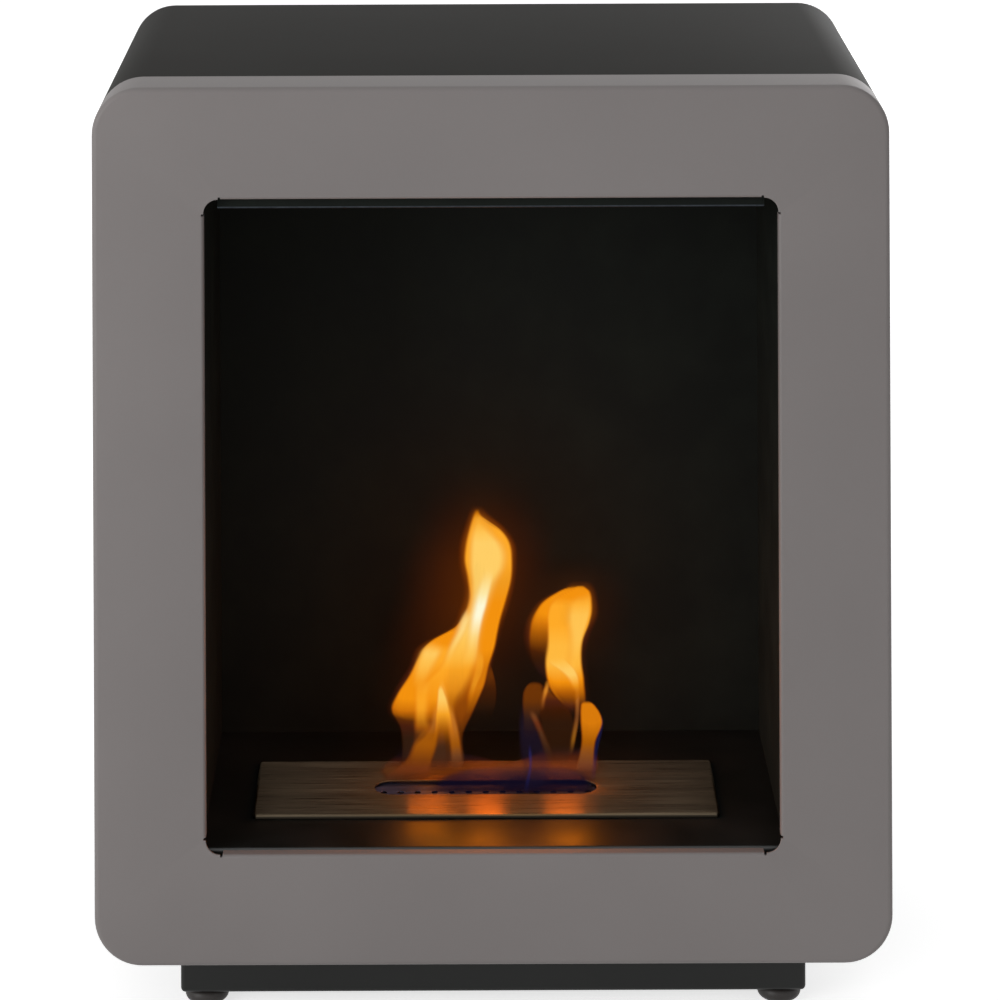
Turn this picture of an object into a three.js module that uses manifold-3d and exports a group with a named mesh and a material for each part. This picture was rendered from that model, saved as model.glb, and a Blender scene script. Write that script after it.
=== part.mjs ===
// A free-standing bioethanol fireplace: a deep sheet-steel casing with a framed window, a black
// firebox behind it, a lift-out burner in the firebox floor, and a plinth on four levelling feet.
// Millimetres, +Z up. The front faces -Y, the origin is on the floor under the middle of the body.

import * as THREE from "three";
import { mergeVertices } from "three/addons/utils/BufferGeometryUtils.js";
import Module from "manifold-3d";

const wasm = await Module();
wasm.setup();

// ---------------------------------------------------------------- driving dimensions

// Casing
const BODY_WIDTH = 500;
const BODY_HEIGHT = 550;
const BODY_DEPTH = 300;
const BODY_CORNER_RADIUS = 30;
const CASING_SHEET = 1.5;

// Front frame: a face with a band folded back round the outside and flanges round the window
const FRAME_BORDER = 70;
const FRAME_EDGE_RADIUS = 5;
const FRAME_BAND_DEPTH = 38;
const WINDOW_CORNER_RADIUS = 9;
const WINDOW_FLANGE_DEPTH = 8;
const RELIEF_NOTCH = 1.5;

// Collar inside the joint between the frame's band and the sleeve
const COLLAR_SHEET = 1.5;
const COLLAR_OVERLAP = 16;

// Back of the casing
const SLEEVE_LIP = 14;
const BACK_PANEL_SHEET = 1.5;
const BACK_PANEL_INSET = 3;
const BACK_SCREW_INSET = 8;
const BACK_SCREW_CORNER_DISTANCE = 70;
const BACK_SCREW_LENGTH = 9;
const VENT_WIDTH = 6;
const VENT_HEIGHT = 50;
const VENT_PITCH = 24;
const VENT_ROW_MARGIN = 45;
const VENT_SIDE_MARGIN = 110;

// Firebox liner
const LINER_SHEET = 1.5;
const LINER_DEPTH = 200;
const LINER_SIDE_GAP = 1.5;
const LINER_TOP_GAP = 1.5;
const LINER_FLOOR_RISE = 1;
const LINER_FRONT_HEM = 8;
const LINER_TAB = 25;
const DEFLECTOR_SHEET = 1.2;
const DEFLECTOR_LEAF = 25;
const DEFLECTOR_DROP = 8;
const DEFLECTOR_SETBACK = 10;
const DEFLECTOR_END_GAP = 8;
const DEFLECTOR_HEM = 2.5;
const DEFLECTOR_SCREW_INSET = 60;
const WELD_STUD_END_DISTANCE = 80;

// Heat shield behind and above the liner
const SHIELD_SHEET = 1;
const SHIELD_GAP = 25;
const SHIELD_TOP_DEPTH = 160;
const SHIELD_LOWER_EDGE = 20;
const SPACER_RADIUS = 5;
const SPACER_INSET = 45;

// Channels that carry the liner floor
const SUPPORT_SHEET = 2;
const SUPPORT_FLANGE = 24;
const SUPPORT_LENGTH = 140;
const SUPPORT_BURNER_GAP = 15;

// Lift-out burner
const BURNER_LENGTH = 300;
const BURNER_WIDTH = 90;
const BURNER_SHEET = 1.5;
const BURNER_LIP = 3;
const BURNER_CORNER_RADIUS = 1.5;
const BURNER_SETBACK = 97;
const BURNER_SIDE_SHIFT = -4;
const SLOT_LENGTH = 145;
const SLOT_WIDTH = 23.5;
const TRAY_LENGTH = 260;
const TRAY_WIDTH = 62;
const TRAY_DEPTH = 50;
const TRAY_SHEET = 1.2;
const TRAY_CORNER_RADIUS = 6;
const TRAY_END_CLEARANCE = 6;
const TRAY_SIDE_CLEARANCE = 1.3;
const GRID_DROP = 3.5;
const GRID_SHEET = 1;
const GRID_SKIRT = 8;
const GRID_HOLE_RADIUS = 2.1;
const GRID_HOLE_PITCH = 11.1;
const PAD_HEIGHT = 36;

// Plinth
const PLINTH_WIDTH = 400;
const PLINTH_SETBACK = 50;
const PLINTH_HEIGHT = 39;
const PLINTH_SHEET = 2;
const PLINTH_FLANGE = 30;
const PLINTH_CORNER_RADIUS = 3;
const PLINTH_BOLT_SPACING = 220;
const PLINTH_BOLT_LENGTH = 14;

// Levelling feet
const FOOT_HEIGHT = 10.7;
const FOOT_RADIUS = 14;
const FOOT_NECK_RADIUS = 9;
const FOOT_CONTACT_RADIUS = 5;
const FOOT_WIDEST_HEIGHT = 6;
const FOOT_UNDERSIDE_RISE = 1;
const FOOT_INSET = 16;
const STUD_RADIUS = 4;
const STUD_SOCKET_DEPTH = 5;
const STUD_LENGTH = 38;

// Fasteners
const INSERT_HEX_SIZE = 13;
const INSERT_HEIGHT = 6.5;
const WELD_STUD_RADIUS = 2;
const WELD_STUD_LENGTH = 8;
const WELD_NUT_SIZE = 7;
const WELD_NUT_HEIGHT = 3.2;
const SCREW_RADIUS = 1.7;
const SCREW_HEAD_RADIUS = 3.2;
const BOLT_RADIUS = 3;
const BOLT_HEX_SIZE = 10;
const BOLT_HEAD_HEIGHT = 4;
const BOLT_NUT_HEIGHT = 5;
const DEFLECTOR_SCREW_HEAD_HEIGHT = 2;
const DEFLECTOR_SCREW_TIP = 4;

// Clearances
const FIT_CLEARANCE = 0.3;
const HOLE_CLEARANCE = 0.3;
const THREAD_CLEARANCE = 0.1;

// How far a cutter runs past what it cuts
const OVERRUN = 1;

// Facets: half of those on a quarter circle, those across a rounded edge, and those round a bar
const LARGE_CURVE_STEPS = 4;
const SMALL_CURVE_STEPS = 2;
const EDGE_STEPS = 4;
const FASTENER_SIDES = 12;
const GRID_HOLE_SIDES = 8;
const FOOT_SIDES = 24;
const FOOT_CURVE_STEPS = 3;

// ---------------------------------------------------------------- worked-out places

const PLINTH_BOTTOM = FOOT_HEIGHT + FIT_CLEARANCE;
const PLINTH_DEPTH = BODY_DEPTH - 2 * PLINTH_SETBACK;
const BODY_BOTTOM = PLINTH_BOTTOM + PLINTH_HEIGHT;
const FRONT_FACE = -BODY_DEPTH / 2;
const SLEEVE_DEPTH = BODY_DEPTH - FRAME_BAND_DEPTH - BACK_PANEL_SHEET;
const WINDOW_WIDTH = BODY_WIDTH - 2 * FRAME_BORDER;
const WINDOW_HEIGHT = BODY_HEIGHT - 2 * FRAME_BORDER;
// The firebox is drawn from the middle of the window's lower edge, back from the front face.
const LINER_HALF_WIDTH = WINDOW_WIDTH / 2 + CASING_SHEET + LINER_SIDE_GAP;
const LINER_OUTER_HALF_WIDTH = LINER_HALF_WIDTH + LINER_SHEET;
const LINER_TOP = WINDOW_HEIGHT + CASING_SHEET + LINER_TOP_GAP;
const LINER_FRONT = CASING_SHEET + FIT_CLEARANCE;
const LINER_FLOOR_FRONT = WINDOW_FLANGE_DEPTH + FIT_CLEARANCE;
const LINER_BACK_FACE = LINER_DEPTH + LINER_SHEET;
const NUT_SEAT = LINER_FRONT + LINER_SHEET;
const TAB_SCREW_LINE = LINER_TAB / 2;
const CUT_OUT_LENGTH = TRAY_LENGTH + 2 * TRAY_END_CLEARANCE;
const CUT_OUT_WIDTH = TRAY_WIDTH + 2 * TRAY_SIDE_CLEARANCE;
const SUPPORT_HEIGHT = FRAME_BORDER + LINER_FLOOR_RISE - LINER_SHEET - CASING_SHEET;
const FOOT_SPAN_X = PLINTH_WIDTH / 2 - FOOT_INSET;
const FOOT_SPAN_Y = PLINTH_DEPTH / 2 - FOOT_INSET;

// ---------------------------------------------------------------- finishes

const FINISH = {
  frameGrey: new THREE.MeshStandardMaterial({ color: 0x7a7674, roughness: 0.5, metalness: 0.3 }),
  sleeveCharcoal: new THREE.MeshStandardMaterial({ color: 0x3c3b39, roughness: 0.55, metalness: 0.2 }),
  linerBlack: new THREE.MeshStandardMaterial({ color: 0x161616, roughness: 0.6, metalness: 0.1 }),
  plinthBlack: new THREE.MeshStandardMaterial({ color: 0x242524, roughness: 0.5, metalness: 0.1 }),
  stainless: new THREE.MeshStandardMaterial({ color: 0x6b6158, roughness: 0.35, metalness: 1 }),
  galvanised: new THREE.MeshStandardMaterial({ color: 0x9a9c9c, roughness: 0.45, metalness: 0.9 }),
  zinc: new THREE.MeshStandardMaterial({ color: 0xb4b6b4, roughness: 0.35, metalness: 1 }),
  footPlastic: new THREE.MeshStandardMaterial({ color: 0x2a2725, roughness: 0.6, metalness: 0 }),
  ceramicWool: new THREE.MeshStandardMaterial({ color: 0xd8d4ca, roughness: 0.95, metalness: 0 }),
};

// ---------------------------------------------------------------- outlines and solids

// A closed geometry as a solid that can be joined to others and cut by them.
function solid(geometry) {
  const bare = geometry.index ? geometry.toNonIndexed() : geometry.clone();
  bare.deleteAttribute("normal");
  bare.deleteAttribute("uv");
  const merged = mergeVertices(bare, 1e-4);
  const surface = new wasm.Mesh({
    numProp: 3,
    vertProperties: merged.getAttribute("position").array,
    triVerts: new Uint32Array(merged.index.array),
  });
  return new wasm.Manifold(surface);
}

// The named mesh of a solid.
function piece(name, body, material) {
  const surface = body.getMesh();
  const geometry = new THREE.BufferGeometry();
  geometry.setAttribute("position", new THREE.BufferAttribute(surface.vertProperties, 3));
  geometry.setIndex(new THREE.BufferAttribute(surface.triVerts, 1));
  geometry.computeVertexNormals();
  const mesh = new THREE.Mesh(geometry, material);
  mesh.name = name;
  return mesh;
}

// One solid out of several.
function joined(...bodies) {
  return bodies.reduce((whole, body) => whole.add(body));
}

// A solid less each of several others.
function cutBy(body, cutters) {
  return cutters.reduce((rest, cutter) => rest.subtract(cutter), body);
}

// A rectangle with round corners about a centre.
function roundedRectangle(width, height, radius, centreX = 0, centreY = 0) {
  const right = width / 2 - radius;
  const top = height / 2 - radius;
  const shape = new THREE.Shape();
  shape.absarc(centreX + right, centreY - top, radius, -Math.PI / 2, 0);
  shape.absarc(centreX + right, centreY + top, radius, 0, Math.PI / 2);
  shape.absarc(centreX - right, centreY + top, radius, Math.PI / 2, Math.PI);
  shape.absarc(centreX - right, centreY - top, radius, Math.PI, 1.5 * Math.PI);
  shape.closePath();
  return shape;
}

// A slot with half-round ends, along the first axis when longer than it is high.
function stadium(length, height, centreX = 0, centreY = 0) {
  const across = length > height;
  const radius = Math.min(length, height) / 2;
  const reach = Math.max(length, height) / 2 - radius;
  const turn = across ? -Math.PI / 2 : 0;
  const dx = across ? reach : 0;
  const dy = across ? 0 : reach;
  const shape = new THREE.Shape();
  shape.absarc(centreX + dx, centreY + dy, radius, turn, turn + Math.PI);
  shape.absarc(centreX - dx, centreY - dy, radius, turn + Math.PI, turn + 2 * Math.PI);
  shape.closePath();
  return shape;
}

function polygon(points) {
  return new THREE.Shape(points.map(([x, y]) => new THREE.Vector2(x, y)));
}

// An outline in X and Y, raised from one height to another.
function slab(shape, low, high, steps = SMALL_CURVE_STEPS) {
  const settings = { depth: high - low, bevelEnabled: false, curveSegments: steps };
  return solid(new THREE.ExtrudeGeometry(shape, settings).translate(0, 0, low));
}

// An outline in X and Z, from one depth back to another.
function panel(shape, front, back, steps = SMALL_CURVE_STEPS) {
  const settings = { depth: back - front, bevelEnabled: false, curveSegments: steps };
  const geometry = new THREE.ExtrudeGeometry(shape, settings);
  return solid(geometry.rotateX(Math.PI / 2).translate(0, back, 0));
}

// A section in Y and Z, run along X between two ends.
function railX(shape, left, right) {
  const settings = { depth: right - left, bevelEnabled: false };
  const geometry = new THREE.ExtrudeGeometry(shape, settings);
  return solid(geometry.rotateX(Math.PI / 2).rotateZ(Math.PI / 2).translate(left, 0, 0));
}

// A box by its lowest and highest corners.
function block(low, high) {
  const size = high.map((value, axis) => value - low[axis]);
  const middle = high.map((value, axis) => (value + low[axis]) / 2);
  return solid(new THREE.BoxGeometry(...size).translate(...middle));
}

// An upright round or six-sided bar.
function rodZ(radius, low, high, x = 0, y = 0, sides = FASTENER_SIDES) {
  const geometry = new THREE.CylinderGeometry(radius, radius, high - low, sides);
  return solid(geometry.rotateX(Math.PI / 2).translate(x, y, (low + high) / 2));
}

// A bar that lies along Y.
function rodY(radius, front, back, x = 0, z = 0, sides = FASTENER_SIDES) {
  const geometry = new THREE.CylinderGeometry(radius, radius, back - front, sides);
  return solid(geometry.translate(x, (front + back) / 2, z));
}

// The radius at the corners of a hexagon of this size across its flats.
function hexRadius(acrossFlats) {
  return acrossFlats / Math.sqrt(3);
}

// Both signs, for what is mirrored left and right.
const SIDES = [
  ["left", -1],
  ["right", 1],
];

// ---------------------------------------------------------------- casing

// The casing's outline, drawn in by an inset.
function casingOutline(inset) {
  return roundedRectangle(
    BODY_WIDTH - 2 * inset,
    BODY_HEIGHT - 2 * inset,
    BODY_CORNER_RADIUS - inset,
    0,
    BODY_HEIGHT / 2,
  );
}

// The frame's outer form with its rounded front edge, drawn in by an inset, with no back.
function frameForm(inset) {
  const edge = FRAME_EDGE_RADIUS - inset;
  const settings = {
    depth: FRAME_BAND_DEPTH,
    bevelEnabled: true,
    bevelThickness: edge,
    bevelSize: edge,
    bevelOffset: -edge,
    bevelSegments: EDGE_STEPS,
    curveSegments: LARGE_CURVE_STEPS,
  };
  const geometry = new THREE.ExtrudeGeometry(casingOutline(inset), settings);
  return solid(geometry.rotateX(Math.PI / 2).translate(0, inset + edge + FRAME_BAND_DEPTH, 0));
}

// Places of the weld studs on the back of the frame: [x, z] from the window's lower middle.
function weldStudPlaces() {
  const sideX = LINER_OUTER_HALF_WIDTH + TAB_SCREW_LINE;
  const topX = WINDOW_WIDTH / 2 - WELD_STUD_END_DISTANCE;
  const topZ = LINER_TOP + LINER_SHEET + TAB_SCREW_LINE;
  const low = WELD_STUD_END_DISTANCE;
  const high = WINDOW_HEIGHT - WELD_STUD_END_DISTANCE;
  const places = [];
  for (const [side, sign] of SIDES) {
    places.push({ name: side + "_lower", x: sign * sideX, z: low });
    places.push({ name: side + "_upper", x: sign * sideX, z: high });
    places.push({ name: "top_" + side, x: sign * topX, z: topZ });
  }
  return places;
}

// The four flanges that fold back from the straight edges of the window.
function windowFlanges(low, high) {
  const half = WINDOW_WIDTH / 2;
  const endX = half - WINDOW_CORNER_RADIUS - RELIEF_NOTCH;
  const endZ = WINDOW_CORNER_RADIUS + RELIEF_NOTCH;
  const back = WINDOW_FLANGE_DEPTH;
  return [
    block([-endX, 0, low - CASING_SHEET], [endX, back, low]),
    block([-endX, 0, high], [endX, back, high + CASING_SHEET]),
    block([-half - CASING_SHEET, 0, low + endZ], [-half, back, high - endZ]),
    block([half, 0, low + endZ], [half + CASING_SHEET, back, high - endZ]),
  ];
}

// The small notches in the face where each flange ends, half in the window and half in the face.
function reliefNotches(low, high) {
  const half = WINDOW_WIDTH / 2;
  const fromCorner = WINDOW_CORNER_RADIUS + RELIEF_NOTCH / 2;
  const front = -OVERRUN;
  const back = CASING_SHEET + OVERRUN;
  const notch = (x, z, wide, tall) => block([x - wide, front, z - tall], [x + wide, back, z + tall]);
  const notches = [];
  for (const [, sign] of SIDES) {
    for (const [edge, inward] of [[low, 1], [high, -1]]) {
      const x = sign * (half - fromCorner);
      const z = edge + inward * fromCorner;
      notches.push(notch(x, edge, RELIEF_NOTCH / 2, RELIEF_NOTCH));
      notches.push(notch(sign * half, z, RELIEF_NOTCH, RELIEF_NOTCH / 2));
    }
  }
  return notches;
}

function frontFrame() {
  const low = FRAME_BORDER;
  const high = FRAME_BORDER + WINDOW_HEIGHT;
  const middle = (low + high) / 2;
  const window = roundedRectangle(WINDOW_WIDTH, WINDOW_HEIGHT, WINDOW_CORNER_RADIUS, 0, middle);
  const behind = casingOutline(-OVERRUN);
  const behindEnd = FRAME_BAND_DEPTH + 2 * FRAME_EDGE_RADIUS + OVERRUN;
  const sheet = cutBy(frameForm(0), [
    frameForm(CASING_SHEET),
    panel(behind, FRAME_BAND_DEPTH, behindEnd, LARGE_CURVE_STEPS),
    panel(window, -OVERRUN, CASING_SHEET + OVERRUN),
    ...reliefNotches(low, high),
  ]);
  const studs = weldStudPlaces().map(({ x, z }) =>
    rodY(WELD_STUD_RADIUS, CASING_SHEET / 2, CASING_SHEET + WELD_STUD_LENGTH, x, FRAME_BORDER + z),
  );
  return joined(sheet, ...windowFlanges(low, high), ...studs);
}

// Places of the screws round the back: [x, z] from the casing's lower middle.
function backScrewPlaces() {
  const x = BODY_WIDTH / 2 - BACK_SCREW_INSET;
  const low = BACK_SCREW_CORNER_DISTANCE;
  const high = BODY_HEIGHT - BACK_SCREW_CORNER_DISTANCE;
  const places = [
    [0, BACK_SCREW_INSET],
    [0, BODY_HEIGHT - BACK_SCREW_INSET],
  ];
  for (const [, sign] of SIDES) {
    for (const z of [low, BODY_HEIGHT / 2, high]) {
      places.push([sign * x, z]);
    }
  }
  return places;
}

// Bolt places of the plinth: [x, y] from the middle of the body.
function plinthBoltPlaces() {
  const places = [];
  const y = PLINTH_DEPTH / 2 - PLINTH_FLANGE / 2;
  for (const [side, sign] of SIDES) {
    places.push({ name: "front_" + side, x: (sign * PLINTH_BOLT_SPACING) / 2, y: -y });
    places.push({ name: "rear_" + side, x: (sign * PLINTH_BOLT_SPACING) / 2, y });
  }
  return places;
}

function bodySleeve() {
  const front = FRAME_BAND_DEPTH;
  const back = FRAME_BAND_DEPTH + SLEEVE_DEPTH;
  const screwHoles = backScrewPlaces().map(([x, z]) =>
    rodY(SCREW_RADIUS + HOLE_CLEARANCE, back - 2 * CASING_SHEET, back + OVERRUN, x, z),
  );
  const boltHoles = plinthBoltPlaces().map(({ x, y }) =>
    rodZ(BOLT_RADIUS + HOLE_CLEARANCE, -OVERRUN, CASING_SHEET + OVERRUN, x, y - FRONT_FACE),
  );
  return cutBy(panel(casingOutline(0), front, back, LARGE_CURVE_STEPS), [
    panel(casingOutline(CASING_SHEET), front - OVERRUN, back - CASING_SHEET, LARGE_CURVE_STEPS),
    panel(casingOutline(SLEEVE_LIP), front - OVERRUN, back + OVERRUN, LARGE_CURVE_STEPS),
    ...screwHoles,
    ...boltHoles,
  ]);
}

function joiningCollar() {
  const front = FRAME_BAND_DEPTH - COLLAR_OVERLAP;
  const back = FRAME_BAND_DEPTH + COLLAR_OVERLAP;
  const outer = CASING_SHEET + FIT_CLEARANCE;
  return cutBy(panel(casingOutline(outer), front, back, LARGE_CURVE_STEPS), [
    panel(casingOutline(outer + COLLAR_SHEET), front - OVERRUN, back + OVERRUN, LARGE_CURVE_STEPS),
  ]);
}

// A countersunk screw from the back face forward, or the hole it leaves with some clearance.
function backScrew(x, z, clearance = 0) {
  const back = BODY_DEPTH;
  const length = BACK_SCREW_LENGTH + clearance;
  const sides = FASTENER_SIDES;
  const shank = rodY(SCREW_RADIUS + clearance, back - length, back - BACK_PANEL_SHEET / 2, x, z);
  const head = new THREE.CylinderGeometry(
    SCREW_HEAD_RADIUS + clearance,
    SCREW_RADIUS + clearance,
    BACK_PANEL_SHEET,
    sides,
  );
  return joined(shank, solid(head.translate(x, back - BACK_PANEL_SHEET / 2, z)));
}

function backPanel() {
  const front = BODY_DEPTH - BACK_PANEL_SHEET;
  const run = BODY_WIDTH - 2 * VENT_SIDE_MARGIN;
  const count = Math.max(1, Math.floor(run / VENT_PITCH) + 1);
  const cutters = backScrewPlaces().map(([x, z]) => backScrew(x, z, HOLE_CLEARANCE));
  for (const z of [VENT_ROW_MARGIN, BODY_HEIGHT - VENT_ROW_MARGIN]) {
    for (let i = 0; i < count; i += 1) {
      const x = (i - (count - 1) / 2) * VENT_PITCH;
      cutters.push(panel(stadium(VENT_WIDTH, VENT_HEIGHT, x, z), front - OVERRUN, BODY_DEPTH + OVERRUN));
    }
  }
  const sheet = panel(casingOutline(BACK_PANEL_INSET), front, BODY_DEPTH, LARGE_CURVE_STEPS);
  return cutBy(sheet, cutters);
}

function casing() {
  const group = new THREE.Group();
  group.position.set(0, FRONT_FACE, BODY_BOTTOM);
  group.add(piece("front_frame", frontFrame(), FINISH.frameGrey));
  group.add(piece("body_sleeve", bodySleeve(), FINISH.sleeveCharcoal));
  group.add(piece("joining_collar", joiningCollar(), FINISH.galvanised));
  group.add(piece("back_panel", backPanel(), FINISH.sleeveCharcoal));
  backScrewPlaces().forEach(([x, z], i) => {
    group.add(piece("back_screw_" + (i + 1), backScrew(x, z), FINISH.zinc));
  });
  return group;
}

// ---------------------------------------------------------------- firebox

function fireboxFloor() {
  const half = LINER_OUTER_HALF_WIDTH;
  const top = LINER_FLOOR_RISE;
  const low = top - LINER_SHEET;
  const front = LINER_FLOOR_FRONT;
  const cutOut = roundedRectangle(
    CUT_OUT_LENGTH,
    CUT_OUT_WIDTH,
    TRAY_CORNER_RADIUS,
    0,
    BURNER_SETBACK,
  );
  const sheet = block([-half, front, low], [half, LINER_BACK_FACE, top]);
  const hem = block([-half, front, top - LINER_FRONT_HEM], [half, front + LINER_SHEET, top]);
  return joined(sheet, hem).subtract(slab(cutOut, low - OVERRUN, top + OVERRUN));
}

// A side wall with the tab that lies against the back of the frame, for sign -1 or 1.
function fireboxSide(sign) {
  const inner = LINER_HALF_WIDTH;
  const outer = inner + LINER_SHEET;
  const low = LINER_FLOOR_RISE;
  const tabEnd = outer + LINER_TAB;
  const section = polygon([
    [sign * inner, LINER_FRONT],
    [sign * inner, LINER_DEPTH],
    [sign * outer, LINER_DEPTH],
    [sign * outer, NUT_SEAT],
    [sign * tabEnd, NUT_SEAT],
    [sign * tabEnd, LINER_FRONT],
  ]);
  return slab(section, low, LINER_TOP).subtract(weldStudHoles());
}

// The holes that the frame's weld studs pass through.
function weldStudHoles() {
  const radius = WELD_STUD_RADIUS + HOLE_CLEARANCE;
  return joined(
    ...weldStudPlaces().map(({ x, z }) => rodY(radius, LINER_FRONT - OVERRUN, NUT_SEAT + OVERRUN, x, z)),
  );
}

function fireboxBack() {
  const half = LINER_OUTER_HALF_WIDTH;
  return block([-half, LINER_DEPTH, LINER_FLOOR_RISE], [half, LINER_BACK_FACE, LINER_TOP]);
}

function fireboxTop() {
  const half = LINER_OUTER_HALF_WIDTH;
  const tabTop = LINER_TOP + LINER_SHEET + LINER_TAB;
  const section = polygon([
    [LINER_FRONT, LINER_TOP],
    [LINER_BACK_FACE, LINER_TOP],
    [LINER_BACK_FACE, LINER_TOP + LINER_SHEET],
    [NUT_SEAT, LINER_TOP + LINER_SHEET],
    [NUT_SEAT, tabTop],
    [LINER_FRONT, tabTop],
  ]);
  const holes = deflectorScrewPlaces().map(({ x, y }) =>
    rodZ(SCREW_RADIUS + HOLE_CLEARANCE, LINER_TOP - OVERRUN, LINER_TOP + LINER_SHEET + OVERRUN, x, y),
  );
  return cutBy(railX(section, -half, half), [weldStudHoles(), ...holes]);
}

function deflectorHalfWidth() {
  return WINDOW_WIDTH / 2 - DEFLECTOR_END_GAP;
}

function deflectorScrewPlaces() {
  const x = deflectorHalfWidth() - DEFLECTOR_SCREW_INSET;
  const y = DEFLECTOR_SETBACK + (DEFLECTOR_LEAF + DEFLECTOR_SHEET) / 2;
  return SIDES.map(([side, sign]) => ({ name: side, x: sign * x, y }));
}

// An angle strip under the front of the firebox top, whose lower edge is folded into a hem.
function topDeflector() {
  const front = DEFLECTOR_SETBACK;
  const back = front + DEFLECTOR_LEAF;
  const low = WINDOW_HEIGHT - DEFLECTOR_DROP;
  const half = deflectorHalfWidth();
  const section = polygon([
    [front, low],
    [front + DEFLECTOR_HEM, low],
    [front + DEFLECTOR_HEM, low + DEFLECTOR_HEM],
    [front + DEFLECTOR_SHEET, low + DEFLECTOR_HEM],
    [front + DEFLECTOR_SHEET, LINER_TOP - DEFLECTOR_SHEET],
    [back, LINER_TOP - DEFLECTOR_SHEET],
    [back, LINER_TOP],
    [front, LINER_TOP],
  ]);
  const holes = deflectorScrewPlaces().map(({ x, y }) =>
    rodZ(SCREW_RADIUS + HOLE_CLEARANCE, LINER_TOP - 2 * DEFLECTOR_SHEET, LINER_TOP + OVERRUN, x, y),
  );
  return cutBy(railX(section, -half, half), holes);
}

// A pan-head screw from under the deflector up through the firebox top.
function deflectorScrew(x, y) {
  const seat = LINER_TOP - DEFLECTOR_SHEET;
  const low = seat - DEFLECTOR_SCREW_HEAD_HEIGHT;
  const tip = LINER_TOP + LINER_SHEET + DEFLECTOR_SCREW_TIP;
  return joined(rodZ(SCREW_HEAD_RADIUS, low, seat, x, y), rodZ(SCREW_RADIUS, low, tip, x, y));
}

// An L of thin sheet that hangs off the liner's back and top on spacers.
function heatShield() {
  const half = LINER_OUTER_HALF_WIDTH;
  const back = LINER_BACK_FACE + SHIELD_GAP;
  const top = LINER_TOP + LINER_SHEET + SHIELD_GAP;
  const low = LINER_FLOOR_RISE + SHIELD_LOWER_EDGE;
  const section = polygon([
    [back, low],
    [back + SHIELD_SHEET, low],
    [back + SHIELD_SHEET, top + SHIELD_SHEET],
    [back - SHIELD_TOP_DEPTH, top + SHIELD_SHEET],
    [back - SHIELD_TOP_DEPTH, top],
    [back, top],
  ]);
  return railX(section, -half, half);
}

function shieldSpacers() {
  const x = LINER_HALF_WIDTH - SPACER_INSET;
  const roof = LINER_TOP + LINER_SHEET;
  const low = LINER_FLOOR_RISE + SHIELD_LOWER_EDGE + SPACER_INSET;
  const high = LINER_TOP - SPACER_INSET;
  const roofY = LINER_BACK_FACE + SHIELD_GAP - SHIELD_TOP_DEPTH + SPACER_INSET;
  const spacers = [];
  for (const [side, sign] of SIDES) {
    for (const [level, z] of [["lower", low], ["upper", high]]) {
      const body = rodY(SPACER_RADIUS, LINER_BACK_FACE, LINER_BACK_FACE + SHIELD_GAP, sign * x, z);
      spacers.push(piece("spacer_back_" + side + "_" + level, body, FINISH.zinc));
    }
    const post = rodZ(SPACER_RADIUS, roof, roof + SHIELD_GAP, sign * x, roofY);
    spacers.push(piece("spacer_top_" + side, post, FINISH.zinc));
  }
  return spacers;
}

// A channel on the casing floor, open to the outside, that carries the liner floor.
function floorSupport(sign) {
  const inner = CUT_OUT_LENGTH / 2 + SUPPORT_BURNER_GAP;
  const outer = inner + SUPPORT_FLANGE;
  const top = LINER_FLOOR_RISE - LINER_SHEET;
  const low = top - SUPPORT_HEIGHT;
  const section = polygon([
    [sign * inner, low],
    [sign * outer, low],
    [sign * outer, low + SUPPORT_SHEET],
    [sign * (inner + SUPPORT_SHEET), low + SUPPORT_SHEET],
    [sign * (inner + SUPPORT_SHEET), top - SUPPORT_SHEET],
    [sign * outer, top - SUPPORT_SHEET],
    [sign * outer, top],
    [sign * inner, top],
  ]);
  return panel(section, LINER_BACK_FACE - SUPPORT_LENGTH, LINER_BACK_FACE);
}

// A six-sided nut on a weld stud, against the liner's tab.
function linerNut(x, z) {
  const back = NUT_SEAT + WELD_NUT_HEIGHT;
  const bore = rodY(WELD_STUD_RADIUS + THREAD_CLEARANCE, NUT_SEAT - OVERRUN, back + OVERRUN, x, z);
  return rodY(hexRadius(WELD_NUT_SIZE), NUT_SEAT, back, x, z, 6).subtract(bore);
}

function firebox() {
  const group = new THREE.Group();
  group.position.set(0, FRONT_FACE, BODY_BOTTOM + FRAME_BORDER);
  group.add(piece("firebox_floor", fireboxFloor(), FINISH.linerBlack));
  group.add(piece("firebox_back", fireboxBack(), FINISH.linerBlack));
  group.add(piece("firebox_top", fireboxTop(), FINISH.linerBlack));
  group.add(piece("top_deflector", topDeflector(), FINISH.linerBlack));
  group.add(piece("heat_shield", heatShield(), FINISH.galvanised));
  group.add(...shieldSpacers());
  for (const [side, sign] of SIDES) {
    group.add(piece("firebox_" + side, fireboxSide(sign), FINISH.linerBlack));
    group.add(piece("floor_support_" + side, floorSupport(sign), FINISH.galvanised));
  }
  for (const { name, x, y } of deflectorScrewPlaces()) {
    group.add(piece("deflector_screw_" + name, deflectorScrew(x, y), FINISH.zinc));
  }
  for (const { name, x, z } of weldStudPlaces()) {
    group.add(piece("liner_nut_" + name, linerNut(x, z), FINISH.zinc));
  }
  return group;
}

// ---------------------------------------------------------------- burner

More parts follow.
